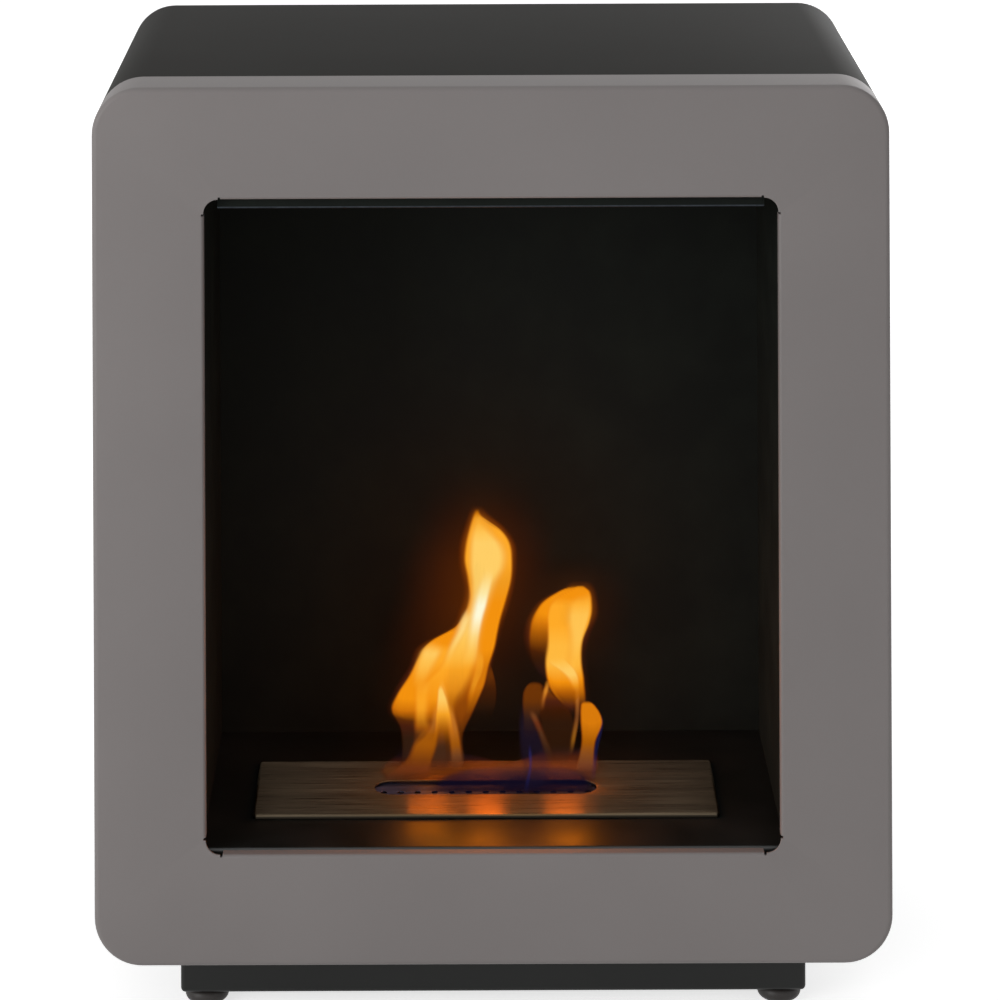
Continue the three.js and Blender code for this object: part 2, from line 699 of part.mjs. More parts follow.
// Its own frame lies at the middle of the plate, at the height of the liner floor.
function burnerPlate() {
  const top = BURNER_LIP;
  const inside = roundedRectangle(
    BURNER_LENGTH - 2 * BURNER_SHEET,
    BURNER_WIDTH - 2 * BURNER_SHEET,
    BURNER_CORNER_RADIUS,
  );
  const outside = roundedRectangle(BURNER_LENGTH, BURNER_WIDTH, BURNER_CORNER_RADIUS + BURNER_SHEET);
  return cutBy(slab(outside, 0, top), [
    slab(inside, -OVERRUN, top - BURNER_SHEET),
    slab(stadium(SLOT_LENGTH, SLOT_WIDTH), -OVERRUN, top + OVERRUN, LARGE_CURVE_STEPS),
  ]);
}

// The fuel tray, open at the top, hangs from the underside of the plate.
function burnerTray() {
  const rim = BURNER_LIP - BURNER_SHEET;
  const low = rim - TRAY_DEPTH;
  const outside = roundedRectangle(TRAY_LENGTH, TRAY_WIDTH, TRAY_CORNER_RADIUS);
  return slab(outside, low, rim).subtract(slab(trayInside(0), low + TRAY_SHEET, rim + OVERRUN));
}

function trayInside(clearance) {
  const inset = TRAY_SHEET + clearance;
  return roundedRectangle(
    TRAY_LENGTH - 2 * inset,
    TRAY_WIDTH - 2 * inset,
    TRAY_CORNER_RADIUS - inset,
  );
}

// A perforated channel across the tray, a little under the slot, with its skirts turned down.
function burnerGrid() {
  const top = BURNER_LIP - GRID_DROP;
  const outer = TRAY_WIDTH / 2 - TRAY_SHEET - FIT_CLEARANCE;
  const inner = outer - GRID_SHEET;
  const half = TRAY_LENGTH / 2 - TRAY_CORNER_RADIUS - FIT_CLEARANCE;
  const skirtEnd = top - GRID_SKIRT;
  const section = polygon([
    [-outer, skirtEnd],
    [-inner, skirtEnd],
    [-inner, top - GRID_SHEET],
    [inner, top - GRID_SHEET],
    [inner, skirtEnd],
    [outer, skirtEnd],
    [outer, top],
    [-outer, top],
  ]);
  const run = SLOT_LENGTH - 2 * GRID_HOLE_RADIUS;
  const count = Math.max(1, Math.floor(run / GRID_HOLE_PITCH) + 1);
  const holes = [];
  for (let i = 0; i < count; i += 1) {
    const x = (i - (count - 1) / 2) * GRID_HOLE_PITCH;
    const low = top - 2 * GRID_SHEET;
    holes.push(rodZ(GRID_HOLE_RADIUS, low, top + OVERRUN, x, 0, GRID_HOLE_SIDES));
  }
  return cutBy(railX(section, -half, half), holes);
}

function woolPad() {
  const low = BURNER_LIP - BURNER_SHEET - TRAY_DEPTH + TRAY_SHEET;
  return slab(trayInside(FIT_CLEARANCE), low, low + PAD_HEIGHT);
}

function burner() {
  const group = new THREE.Group();
  const seat = BODY_BOTTOM + FRAME_BORDER + LINER_FLOOR_RISE;
  group.position.set(BURNER_SIDE_SHIFT, FRONT_FACE + BURNER_SETBACK, seat);
  group.add(piece("burner_plate", burnerPlate(), FINISH.stainless));
  group.add(piece("burner_tray", burnerTray(), FINISH.stainless));
  group.add(piece("burner_grid", burnerGrid(), FINISH.stainless));
  group.add(piece("wool_pad", woolPad(), FINISH.ceramicWool));
  return group;
}

// ---------------------------------------------------------------- plinth and feet

function plinthOutline(inset) {
  const radius = Math.max(PLINTH_CORNER_RADIUS - inset, PLINTH_CORNER_RADIUS / 3);
  return roundedRectangle(PLINTH_WIDTH - 2 * inset, PLINTH_DEPTH - 2 * inset, radius);
}

// A skirt of folded sheet whose upper and lower flanges turn inwards.
function plinthSkirt() {
  const studHole = STUD_RADIUS + HOLE_CLEARANCE;
  const holes = [];
  for (const { x, y } of footPlaces()) {
    holes.push(rodZ(studHole, -OVERRUN, PLINTH_SHEET + OVERRUN, x, y));
  }
  for (const { x, y } of plinthBoltPlaces()) {
    const low = PLINTH_HEIGHT - PLINTH_SHEET - OVERRUN;
    holes.push(rodZ(BOLT_RADIUS + HOLE_CLEARANCE, low, PLINTH_HEIGHT + OVERRUN, x, y));
  }
  return cutBy(slab(plinthOutline(0), 0, PLINTH_HEIGHT), [
    slab(plinthOutline(PLINTH_SHEET), PLINTH_SHEET, PLINTH_HEIGHT - PLINTH_SHEET),
    slab(plinthOutline(PLINTH_FLANGE), -OVERRUN, PLINTH_HEIGHT + OVERRUN),
    ...holes,
  ]);
}

// A bolt from the casing floor down through the plinth's upper flange.
function plinthBolt(x, y) {
  const seat = PLINTH_HEIGHT + CASING_SHEET;
  const head = rodZ(hexRadius(BOLT_HEX_SIZE), seat, seat + BOLT_HEAD_HEIGHT, x, y, 6);
  return joined(head, rodZ(BOLT_RADIUS, seat - PLINTH_BOLT_LENGTH, seat + BOLT_HEAD_HEIGHT, x, y));
}

function plinthNut(x, y) {
  const top = PLINTH_HEIGHT - PLINTH_SHEET;
  const low = top - BOLT_NUT_HEIGHT;
  const bore = rodZ(BOLT_RADIUS + THREAD_CLEARANCE, low - OVERRUN, top + OVERRUN, x, y);
  return rodZ(hexRadius(BOLT_HEX_SIZE), low, top, x, y, 6).subtract(bore);
}

// The threaded insert that a foot's stud turns in, on top of the plinth's lower flange.
function footInsert(x, y) {
  const high = PLINTH_SHEET + INSERT_HEIGHT;
  const radius = STUD_RADIUS + THREAD_CLEARANCE;
  const low = PLINTH_SHEET - OVERRUN;
  const bore = rodZ(radius, low, high + OVERRUN, x, y, FOOT_SIDES);
  return rodZ(hexRadius(INSERT_HEX_SIZE), PLINTH_SHEET, high, x, y, 6).subtract(bore);
}

function plinth() {
  const group = new THREE.Group();
  group.position.set(0, 0, PLINTH_BOTTOM);
  group.add(piece("plinth_skirt", plinthSkirt(), FINISH.plinthBlack));
  for (const { name, x, y } of plinthBoltPlaces()) {
    group.add(piece("plinth_bolt_" + name, plinthBolt(x, y), FINISH.zinc));
    group.add(piece("plinth_nut_" + name, plinthNut(x, y), FINISH.zinc));
  }
  for (const { name, x, y } of footPlaces()) {
    group.add(piece("foot_insert_" + name, footInsert(x, y), FINISH.zinc));
  }
  return group;
}

function footPlaces() {
  const places = [];
  for (const [side, sign] of SIDES) {
    places.push({ name: "front_" + side, x: sign * FOOT_SPAN_X, y: -FOOT_SPAN_Y });
    places.push({ name: "rear_" + side, x: sign * FOOT_SPAN_X, y: FOOT_SPAN_Y });
  }
  return places;
}

// A domed glide with a flat contact face and a blind socket for the stud.
function footPad() {
  const profile = new THREE.Path();
  profile.moveTo(0, 0);
  profile.lineTo(FOOT_CONTACT_RADIUS, 0);
  profile.quadraticCurveTo(FOOT_RADIUS, FOOT_UNDERSIDE_RISE, FOOT_RADIUS, FOOT_WIDEST_HEIGHT);
  profile.quadraticCurveTo(FOOT_RADIUS, FOOT_HEIGHT, FOOT_NECK_RADIUS, FOOT_HEIGHT);
  profile.lineTo(0, FOOT_HEIGHT);
  const geometry = new THREE.LatheGeometry(profile.getPoints(FOOT_CURVE_STEPS), FOOT_SIDES);
  const dome = solid(geometry.rotateX(Math.PI / 2));
  const floor = FOOT_HEIGHT - STUD_SOCKET_DEPTH;
  const socket = rodZ(STUD_RADIUS + FIT_CLEARANCE, floor, FOOT_HEIGHT + OVERRUN, 0, 0, FOOT_SIDES);
  return dome.subtract(socket);
}

function foot({ name, x, y }) {
  const group = new THREE.Group();
  group.position.set(x, y, 0);
  const low = FOOT_HEIGHT - STUD_SOCKET_DEPTH + FIT_CLEARANCE;
  const stud = rodZ(STUD_RADIUS, low, low + STUD_LENGTH, 0, 0, FOOT_SIDES);
  group.add(piece("foot_pad_" + name, footPad(), FINISH.footPlastic));
  group.add(piece("foot_stud_" + name, stud, FINISH.zinc));
  return group;
}

// ---------------------------------------------------------------- the whole fireplace

const fireplace = new THREE.Group();
fireplace.add(casing());
fireplace.add(firebox());
fireplace.add(burner());
fireplace.add(plinth());
for (const place of footPlaces()) {
  fireplace.add(foot(place));
}

export default fireplace;
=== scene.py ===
"""Looks of a free-standing bioethanol fireplace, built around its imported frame.

The casing is folded sheet steel with a warm grey powder-coated front frame on a charcoal sleeve.
Behind the window lie a black firebox, a brushed burner plate with one slot, and two lit flames.
Sizes are in millimetres in the row frame: the front faces -Y, and +Z is up.
"""

from __future__ import annotations

import logging
import math
from collections.abc import Iterable, Mapping, Sequence
from dataclasses import dataclass
from enum import Enum
from typing import Any

import bmesh
import bpy
import numpy as np
from mathutils import Matrix, Vector, noise

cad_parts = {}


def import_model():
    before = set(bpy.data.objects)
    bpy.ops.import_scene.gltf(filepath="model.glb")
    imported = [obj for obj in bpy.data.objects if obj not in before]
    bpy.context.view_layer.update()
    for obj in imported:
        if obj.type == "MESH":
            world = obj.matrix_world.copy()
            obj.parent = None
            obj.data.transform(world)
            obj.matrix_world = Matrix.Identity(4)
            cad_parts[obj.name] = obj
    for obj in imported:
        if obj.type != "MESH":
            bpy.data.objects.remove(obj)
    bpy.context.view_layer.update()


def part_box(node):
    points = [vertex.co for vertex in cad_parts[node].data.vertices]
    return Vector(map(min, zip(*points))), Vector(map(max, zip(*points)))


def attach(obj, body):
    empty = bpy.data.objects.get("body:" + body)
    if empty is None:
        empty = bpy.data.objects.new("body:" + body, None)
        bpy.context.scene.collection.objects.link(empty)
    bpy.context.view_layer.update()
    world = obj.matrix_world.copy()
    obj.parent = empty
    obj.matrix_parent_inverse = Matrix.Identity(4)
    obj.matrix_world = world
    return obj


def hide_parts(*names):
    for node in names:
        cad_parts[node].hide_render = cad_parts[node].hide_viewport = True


log = logging.getLogger("fireplace")

MM = 0.001
# How far a cutter runs past the sheet that it cuts, in millimetres.
OVERRUN = 1.0
BACK_SCREW_NUMBERS = range(1, 9)

Point = tuple[float, float]
Place = tuple[float, float, float]
Ring = list[Place]


# ------------------------------------------------------------------ colour and nodes

def colour(code: str) -> tuple[float, float, float, float]:
    """Turns an sRGB hex colour into the linear colour that a shader takes.

    Args:
        code: six hex digits, such as "7d7977".

    Returns:
        Linear red, green and blue, with an alpha of 1.
    """
    parts = [int(code[i:i + 2], 16) / 255 for i in (0, 2, 4)]
    linear = [c / 12.92 if c <= 0.04045 else ((c + 0.055) / 1.055) ** 2.4 for c in parts]
    return (linear[0], linear[1], linear[2], 1.0)


def per_metre(size: float) -> float:
    """The texture scale at which a pattern repeats about every size millimetres."""
    return 1 / (size * MM)


class Mixed(Enum):
    """Socket numbers of a Mix node that mixes colours."""

    FACTOR = 0
    A = 6
    B = 7
    RESULT = 2


def add_node(
    tree: bpy.types.NodeTree,
    kind: str,
    settings: Mapping[str, Any] | None = None,
    links: Mapping[Any, Any] | None = None,
    stops: Sequence[tuple[float, str]] = (),
) -> bpy.types.Node:
    """Adds a node with its settings, values and links.

    Args:
        tree: the material's or world's node tree.
        kind: Blender's name for the kind of node.
        settings: properties of the node itself.
        links: for each input, by name or number, the socket to link or the value to set.
        stops: places and hex colours along a colour ramp.

    Returns:
        The new node.
    """
    made = tree.nodes.new(kind)
    for name, value in (settings or {}).items():
        setattr(made, name, value)
    for key, value in (links or {}).items():
        socket = made.inputs[key.value if isinstance(key, Enum) else key]
        if isinstance(value, bpy.types.NodeSocket):
            tree.links.new(value, socket)
        else:
            socket.default_value = value
    if stops:
        ramp = made.color_ramp
        while len(ramp.elements) < len(stops):
            ramp.elements.new(1.0)
        for element, (place, code) in zip(ramp.elements, stops):
            element.position = place
            element.color = colour(code)
    return made


def new_material(name: str) -> tuple[bpy.types.Material, bpy.types.NodeTree, bpy.types.NodeSocket]:
    """Starts an empty node material.

    Args:
        name: the finish's name.

    Returns:
        The material, its node tree, and the coordinates of the piece in metres.
    """
    material = bpy.data.materials.new(name)
    material.use_nodes = True
    tree = material.node_tree
    tree.nodes.clear()
    place = add_node(tree, "ShaderNodeTexCoord").outputs["Object"]
    return material, tree, place


def close_material(tree: bpy.types.NodeTree, surface: bpy.types.NodeSocket) -> None:
    """Links a surface shader to the material's output."""
    add_node(tree, "ShaderNodeOutputMaterial", links={"Surface": surface})


# ------------------------------------------------------------------ finishes

@dataclass(frozen=True)
class PowderCoat:
    """Polyester powder baked on sheet steel: even, faintly pebbled, with a soft broad sheen."""

    name: str
    tone: str
    tone_low: str
    roughness: float = 0.5
    specular: float = 0.4
    drift_size: float = 160.0
    peel_size: float = 2.6
    grain_size: float = 0.7
    relief: float = 0.012

    def build(self) -> bpy.types.Material:
        """Makes the material: a slow drift of tone, orange peel and a fine grain.

        The powder's own grain is about 0.1 mm, and is drawn coarser so that it shows.
        """
        material, tree, place = new_material(self.name)
        drift = add_node(
            tree, "ShaderNodeTexNoise",
            links={"Vector": place, "Scale": per_metre(self.drift_size), "Detail": 2.0})
        peel = add_node(
            tree, "ShaderNodeTexNoise",
            links={"Vector": place, "Scale": per_metre(self.peel_size), "Detail": 2.0})
        grain = add_node(
            tree, "ShaderNodeTexNoise",
            links={"Vector": place, "Scale": per_metre(self.grain_size), "Detail": 3.0})
        speckle = add_node(
            tree, "ShaderNodeMath", {"operation": "MULTIPLY_ADD"},
            {0: grain.outputs[0], 1: 0.35, 2: drift.outputs[0]})
        blend = add_node(tree, "ShaderNodeMapRange", links={0: speckle.outputs[0], 1: 0.45, 2: 0.9})
        tone = add_node(tree, "ShaderNodeMix", {"data_type": "RGBA"}, {
            Mixed.FACTOR: blend.outputs[0], Mixed.A: colour(self.tone_low), Mixed.B: colour(self.tone)})
        rough = add_node(tree, "ShaderNodeMapRange", links={
            0: grain.outputs[0], 1: 0.2, 2: 0.8, 3: self.roughness - 0.06, 4: self.roughness + 0.06})
        waves = add_node(tree, "ShaderNodeBump", links={
            "Height": peel.outputs[0], "Strength": 0.5, "Distance": self.relief * MM * 2})
        pits = add_node(tree, "ShaderNodeBump", links={
            "Height": grain.outputs[0], "Strength": 0.6, "Distance": self.relief * MM,
            "Normal": waves.outputs[0]})
        shader = add_node(tree, "ShaderNodeBsdfPrincipled", links={
            "Base Color": tone.outputs[Mixed.RESULT.value], "Roughness": rough.outputs[0], "IOR": 1.5,
            "Specular IOR Level": self.specular, "Normal": pits.outputs[0]})
        close_material(tree, shader.outputs[0])
        return material


@dataclass(frozen=True)
class StovePaint:
    """Heat-proof black paint: dead black, a little dusty and uneven where it has been hot."""

    name: str
    tone: str
    dusty_tone: str
    roughness: float = 0.55
    specular: float = 0.1
    bloom_size: float = 45.0
    grain_size: float = 0.9

    def build(self) -> bpy.types.Material:
        """Makes the material: black with a cloudy bloom, a sprayed grain and a varying sheen.

        Sprayed droplets are about 0.2 mm, and are drawn coarser so that they show.
        """
        material, tree, place = new_material(self.name)
        bloom = add_node(tree, "ShaderNodeTexNoise", links={
            "Vector": place, "Scale": per_metre(self.bloom_size), "Detail": 4.0, "Roughness": 0.6})
        grain = add_node(
            tree, "ShaderNodeTexNoise",
            links={"Vector": place, "Scale": per_metre(self.grain_size), "Detail": 2.0})
        cloud = add_node(tree, "ShaderNodeMapRange", links={0: bloom.outputs[0], 1: 0.4, 2: 0.72})
        tone = add_node(tree, "ShaderNodeMix", {"data_type": "RGBA"}, {
            Mixed.FACTOR: cloud.outputs[0], Mixed.A: colour(self.tone), Mixed.B: colour(self.dusty_tone)})
        rough = add_node(tree, "ShaderNodeMapRange", links={
            0: bloom.outputs[0], 1: 0.3, 2: 0.7, 3: self.roughness - 0.05, 4: self.roughness + 0.08})
        pits = add_node(tree, "ShaderNodeBump", links={
            "Height": grain.outputs[0], "Strength": 0.7, "Distance": 0.02 * MM})
        shader = add_node(tree, "ShaderNodeBsdfPrincipled", links={
            "Base Color": tone.outputs[Mixed.RESULT.value], "Roughness": rough.outputs[0], "IOR": 1.5,
            "Specular IOR Level": self.specular, "Normal": pits.outputs[0]})
        close_material(tree, shader.outputs[0])
        return material


@dataclass(frozen=True)
class BrushedStainless:
    """Stainless sheet brushed along its length: fine streaks, and a tone laid round a point near the flames,
    which is heat browning on the plate and tray and painted shade on the strip. A low lip can be darkened
    with painted shade.
    """

    name: str
    bright: str
    dull: str
    # The tone laid round a centre near the flames: heat browning on the plate and tray, painted shade
    # darkening the strip in the slot.
    heat_and_shade_tone: str
    roughness: float = 0.34
    streak_length: float = 70.0
    streak_width: float = 0.8
    heat_and_shade_centre: Place = (0.0, 0.0, 0.0)
    heat_and_shade_reach: float = 120.0
    # The lip fields lay painted shade over the lowest part of the sheet.
    lip_height: float = 0.0
    lip_fade: float = 1.2
    lip_shade_tone: str = "2e2820"
    metallic: float = 0.9
    anisotropy: float = 1.0

    def build(self) -> bpy.types.Material:
        """Makes the material: streaks in colour, gloss and relief, a tone round a point near the flames, and
        painted shade on the lip.

        The scratches of the belt are about 0.1 mm wide, and are drawn coarser so that they show.
        """
        material, tree, place = new_material(self.name)
        stretch = add_node(tree, "ShaderNodeMapping", links={
            "Vector": place, "Scale": tuple(per_metre(size) for size in (
                self.streak_length, self.streak_width, self.streak_width))})
        streaks = add_node(
            tree, "ShaderNodeTexNoise",
            links={"Vector": stretch.outputs[0], "Scale": 1.0, "Detail": 5.0, "Roughness": 0.65})
        wide = add_node(tree, "ShaderNodeMapping", links={
            "Vector": place, "Scale": (per_metre(110), per_metre(9), per_metre(9))})
        bands = add_node(
            tree, "ShaderNodeTexNoise", links={"Vector": wide.outputs[0], "Scale": 1.0, "Detail": 3.0})
        mixed = add_node(
            tree, "ShaderNodeMath", {"operation": "MULTIPLY_ADD"},
            {0: bands.outputs[0], 1: 0.8, 2: streaks.outputs[0]})
        wear = add_node(tree, "ShaderNodeMapRange", links={0: mixed.outputs[0], 1: 0.6, 2: 1.2})
        sheen = add_node(tree, "ShaderNodeMix", {"data_type": "RGBA"}, {
            Mixed.FACTOR: wear.outputs[0], Mixed.A: colour(self.dull), Mixed.B: colour(self.bright)})
        # Tone laid round a centre: heat browning on the plate and tray, painted shade that darkens the strip
        # nearly to black.
        away = add_node(tree, "ShaderNodeVectorMath", {"operation": "DISTANCE"}, {
            0: place, 1: tuple(v * MM for v in self.heat_and_shade_centre)})
        heat_and_shade = add_node(tree, "ShaderNodeMapRange", {"interpolation_type": "SMOOTHSTEP"}, {
            0: away.outputs["Value"], 1: self.heat_and_shade_reach * MM, 2: 0.0, 3: 0.0, 4: 0.7})
        stained_and_shaded = add_node(tree, "ShaderNodeMix", {"data_type": "RGBA"}, {
            Mixed.FACTOR: heat_and_shade.outputs[0], Mixed.A: sheen.outputs[Mixed.RESULT.value],
            Mixed.B: colour(self.heat_and_shade_tone)})
        # Painted shade over the lowest part of the sheet, darkening the plate's folded front lip.
        height = add_node(tree, "ShaderNodeSeparateXYZ", links={0: place})
        lip = add_node(tree, "ShaderNodeMapRange", links={
            0: height.outputs[2], 1: (self.lip_height + self.lip_fade) * MM, 2: self.lip_height * MM})
        lip_shaded = add_node(tree, "ShaderNodeMix", {"data_type": "RGBA"}, {
            Mixed.FACTOR: lip.outputs[0], Mixed.A: stained_and_shaded.outputs[Mixed.RESULT.value],
            Mixed.B: colour(self.lip_shade_tone)})
        rough = add_node(tree, "ShaderNodeMapRange", links={
            0: streaks.outputs[0], 1: 0.3, 2: 0.7, 3: self.roughness - 0.07, 4: self.roughness + 0.1})
        scratches = add_node(tree, "ShaderNodeBump", links={
            "Height": streaks.outputs[0], "Strength": 0.6, "Distance": 0.02 * MM})
        across = add_node(tree, "ShaderNodeTangent", {"direction_type": "RADIAL", "axis": "X"})
        shader = add_node(tree, "ShaderNodeBsdfPrincipled", links={
            "Base Color": lip_shaded.outputs[Mixed.RESULT.value], "Metallic": self.metallic,
            "Roughness": rough.outputs[0], "Anisotropic": self.anisotropy,
            "Tangent": across.outputs[0], "Normal": scratches.outputs[0]})
        close_material(tree, shader.outputs[0])
        return material


@dataclass(frozen=True)
class SpangledZinc:
    """Hot-dip galvanised sheet: flat crystals of slightly different greys, soft metallic gloss."""

    name: str
    light: str
    dark: str
    crystal_size: float = 9.0
    roughness: float = 0.42

    def build(self) -> bpy.types.Material:
        """Makes the material: a cell pattern for the crystals and a fine grain over it.

        The crystals have their real size, and the grain is drawn coarser than its 0.2 mm.
        """
        material, tree, place = new_material(self.name)
        cells = add_node(
            tree, "ShaderNodeTexVoronoi", links={"Vector": place, "Scale": per_metre(self.crystal_size)})
        grey = add_node(tree, "ShaderNodeSeparateColor", links={0: cells.outputs["Color"]})
        tone = add_node(tree, "ShaderNodeMix", {"data_type": "RGBA"}, {
            Mixed.FACTOR: grey.outputs[0], Mixed.A: colour(self.dark), Mixed.B: colour(self.light)})
        rough = add_node(tree, "ShaderNodeMapRange", links={
            0: grey.outputs[1], 3: self.roughness - 0.1, 4: self.roughness + 0.12})
        grain = add_node(tree, "ShaderNodeTexNoise", links={"Vector": place, "Scale": per_metre(0.8)})
        relief = add_node(
            tree, "ShaderNodeBump",
            links={"Height": grain.outputs[0], "Strength": 0.3, "Distance": 0.02 * MM})
        shader = add_node(tree, "ShaderNodeBsdfPrincipled", links={
            "Base Color": tone.outputs[Mixed.RESULT.value], "Metallic": 0.95, "Roughness": rough.outputs[0],
            "Normal": relief.outputs[0]})
        close_material(tree, shader.outputs[0])
        return material


@dataclass(frozen=True)
class PlatedSteel:
    """Steel with a thin bright skin: cool silver with turning marks and small dull spots."""

    name: str
    tone: str
    dull: str
    mark_size: float = 0.6
    roughness: float = 0.3

    def build(self) -> bpy.types.Material:
        """Makes the material: small clouds of dullness and a fine turned grain.

        Turning marks are about 0.1 mm apart, and are drawn coarser so that they show.
        """
        material, tree, place = new_material(self.name)
        clouds = add_node(
            tree, "ShaderNodeTexNoise", links={"Vector": place, "Scale": per_metre(3.0), "Detail": 3.0})
        marks = add_node(
            tree, "ShaderNodeTexNoise", links={"Vector": place, "Scale": per_metre(self.mark_size)})
        tone = add_node(tree, "ShaderNodeMix", {"data_type": "RGBA"}, {
            Mixed.FACTOR: clouds.outputs[0], Mixed.A: colour(self.tone), Mixed.B: colour(self.dull)})
        rough = add_node(tree, "ShaderNodeMapRange", links={
            0: clouds.outputs[0], 3: self.roughness - 0.08, 4: self.roughness + 0.2})
        relief = add_node(
            tree, "ShaderNodeBump",
            links={"Height": marks.outputs[0], "Strength": 0.25, "Distance": 0.015 * MM})
        shader = add_node(tree, "ShaderNodeBsdfPrincipled", links={
            "Base Color": tone.outputs[Mixed.RESULT.value], "Metallic": 1.0, "Roughness": rough.outputs[0],
            "Normal": relief.outputs[0]})
        close_material(tree, shader.outputs[0])
        return material


@dataclass(frozen=True)
class MouldedNylon:
    """Black-brown injection-moulded nylon: a soft satin skin, scuffed where it meets the floor."""

    name: str
    tone: str
    scuffed: str
    scuff_height: float = 3.0
    roughness: float = 0.5

    def build(self) -> bpy.types.Material:
        """Makes the material: an even skin with a spark-eroded grain and scuffs low down.

        The mould's grain is about 0.1 mm, and is drawn coarser so that it shows.
        """
        material, tree, place = new_material(self.name)
        grain = add_node(
            tree, "ShaderNodeTexNoise", links={"Vector": place, "Scale": per_metre(0.5), "Detail": 3.0})
        patches = add_node(
            tree, "ShaderNodeTexNoise", links={"Vector": place, "Scale": per_metre(4.0), "Detail": 3.0})
        height = add_node(tree, "ShaderNodeSeparateXYZ", links={0: place})
        low = add_node(
            tree, "ShaderNodeMapRange", links={0: height.outputs[2], 1: self.scuff_height * MM, 2: 0.0})
        scuff = add_node(
            tree, "ShaderNodeMath", {"operation": "MULTIPLY"}, {0: low.outputs[0], 1: patches.outputs[0]})
        tone = add_node(tree, "ShaderNodeMix", {"data_type": "RGBA"}, {
            Mixed.FACTOR: scuff.outputs[0], Mixed.A: colour(self.tone), Mixed.B: colour(self.scuffed)})
        rough = add_node(tree, "ShaderNodeMapRange", links={
            0: patches.outputs[0], 3: self.roughness - 0.08, 4: self.roughness + 0.12})
        relief = add_node(
            tree, "ShaderNodeBump",
            links={"Height": grain.outputs[0], "Strength": 0.5, "Distance": 0.02 * MM})
        shader = add_node(tree, "ShaderNodeBsdfPrincipled", links={
            "Base Color": tone.outputs[Mixed.RESULT.value], "Roughness": rough.outputs[0], "IOR": 1.53,
            "Specular IOR Level": 0.35, "Normal": relief.outputs[0]})
        close_material(tree, shader.outputs[0])
        return material


@dataclass(frozen=True)
class FibreWool:
    """Ceramic fibre block: off-white matted strands, yellowed where fuel has wetted it."""

    name: str
    tone: str
    stained_and_shaded: str
    strand_size: float = 1.2

    def build(self) -> bpy.types.Material:
        """Makes the material: stretched strands in colour and relief over slow stains.

        Single fibres are a few thousandths of a millimetre, so tufts of them are drawn.
        """
        material, tree, place = new_material(self.name)
        warp = add_node(tree, "ShaderNodeMapping", links={
            "Vector": place, "Scale": (per_metre(6.0), per_metre(self.strand_size), per_metre(2.5))})
        strands = add_node(
            tree, "ShaderNodeTexNoise",
            links={"Vector": warp.outputs[0], "Scale": 1.0, "Detail": 6.0, "Distortion": 1.2})
        stains = add_node(
            tree, "ShaderNodeTexNoise", links={"Vector": place, "Scale": per_metre(30.0), "Detail": 3.0})
        tone = add_node(tree, "ShaderNodeMix", {"data_type": "RGBA"}, {
            Mixed.FACTOR: stains.outputs[0], Mixed.A: colour(self.tone), Mixed.B: colour(self.stained_and_shaded)})
        relief = add_node(
            tree, "ShaderNodeBump",
            links={"Height": strands.outputs[0], "Strength": 0.9, "Distance": 0.5 * MM})
        rough = add_node(tree, "ShaderNodeMapRange", links={0: strands.outputs[0], 3: 0.85, 4: 1.0})
        shader = add_node(tree, "ShaderNodeBsdfPrincipled", links={
            "Base Color": tone.outputs[Mixed.RESULT.value], "Roughness": rough.outputs[0],
            "Specular IOR Level": 0.1, "Normal": relief.outputs[0]})
        close_material(tree, shader.outputs[0])
        return material


# Polyester powder baked on folded steel: an even warm grey with a wide soft sheen along the folds.
GREY_COAT = PowderCoat("warm_grey_powder_coat", "817c7b", "7c7776", roughness=0.5, specular=0.2)
# The same powder in charcoal, finely textured, so that it keeps dark where the light grazes it.
CHARCOAL_COAT = PowderCoat("charcoal_powder_coat", "2d2c2a", "292826", roughness=0.55, specular=0.01)
# Smooth black powder: darker than the sleeve, with a little more shine on the skirt's edges.
PLINTH_COAT = PowderCoat("black_powder_coat", "1b1c1b", "171817", roughness=0.45, specular=0.25)
# Sprayed silicone stove paint: matt, so the walls sink to black and only a warm bloom shows.
WALL_PAINT = StovePaint("matt_stove_paint", "151816", "1b1f1c", roughness=0.6, specular=0.05)
# The same paint rubbed satin on the floor, so that it mirrors the flames as a blurred glow.
FLOOR_PAINT = StovePaint("satin_stove_paint", "0c0f0e", "121413", roughness=0.38, specular=0.7)
# Bare rolled edge of the deflector: a thin cool line of light under the window's top edge.
HEM_STEEL = PlatedSteel("worn_hem_steel", "3c4146", "22262b", roughness=0.4)
# Hot-dip zinc on inner sheet: a patchwork of pale crystals where the vents let light in.
GALVANISED = SpangledZinc("galvanised_sheet", "a4a6a6", "85898a")
# Electroplated zinc on screws, nuts, studs and spacers: small bright silver points.
ZINC = PlatedSteel("zinc_plated_steel", "b9bbb9", "a2a4a0")
# Deep-drawn stainless, brushed lengthwise: streaks of light along the tray's long sides.
TRAY_STEEL = BrushedStainless(
    "tray_stainless", "9a938a", "7d766d", "6b5a45", roughness=0.3, heat_and_shade_centre=(-4, -53, 124))
# Brushed stainless browned by years of heat: it draws the flames out into upright columns of
# light, and painted shade darkens its front lip.
PLATE_STEEL = BrushedStainless(
    "brushed_burner_plate", "96876f", "5f5344", "a07838", roughness=0.3, heat_and_shade_centre=(-4, -53, 124),
    lip_height=122.6)
# Stainless strip right under the flames: blued, with painted shade that darkens it nearly to black over its
# right half, deep in the slot.
STRIP_STEEL = BrushedStainless(
    "flame_blued_stainless", "8484a4", "3a3848", "181622", roughness=0.34,
    heat_and_shade_centre=(30, -53, 120), heat_and_shade_reach=130)
# Injection-moulded nylon: dark brown-black domes with a dull skin.
FOOT_NYLON = MouldedNylon("moulded_nylon", "2a2624", "4a4038")
# Pressed ceramic fibre: pale and chalky, with no shine at all.
WOOL = FibreWool("ceramic_fibre", "d8d4ca", "b9a98a")


# ------------------------------------------------------------------ outlines

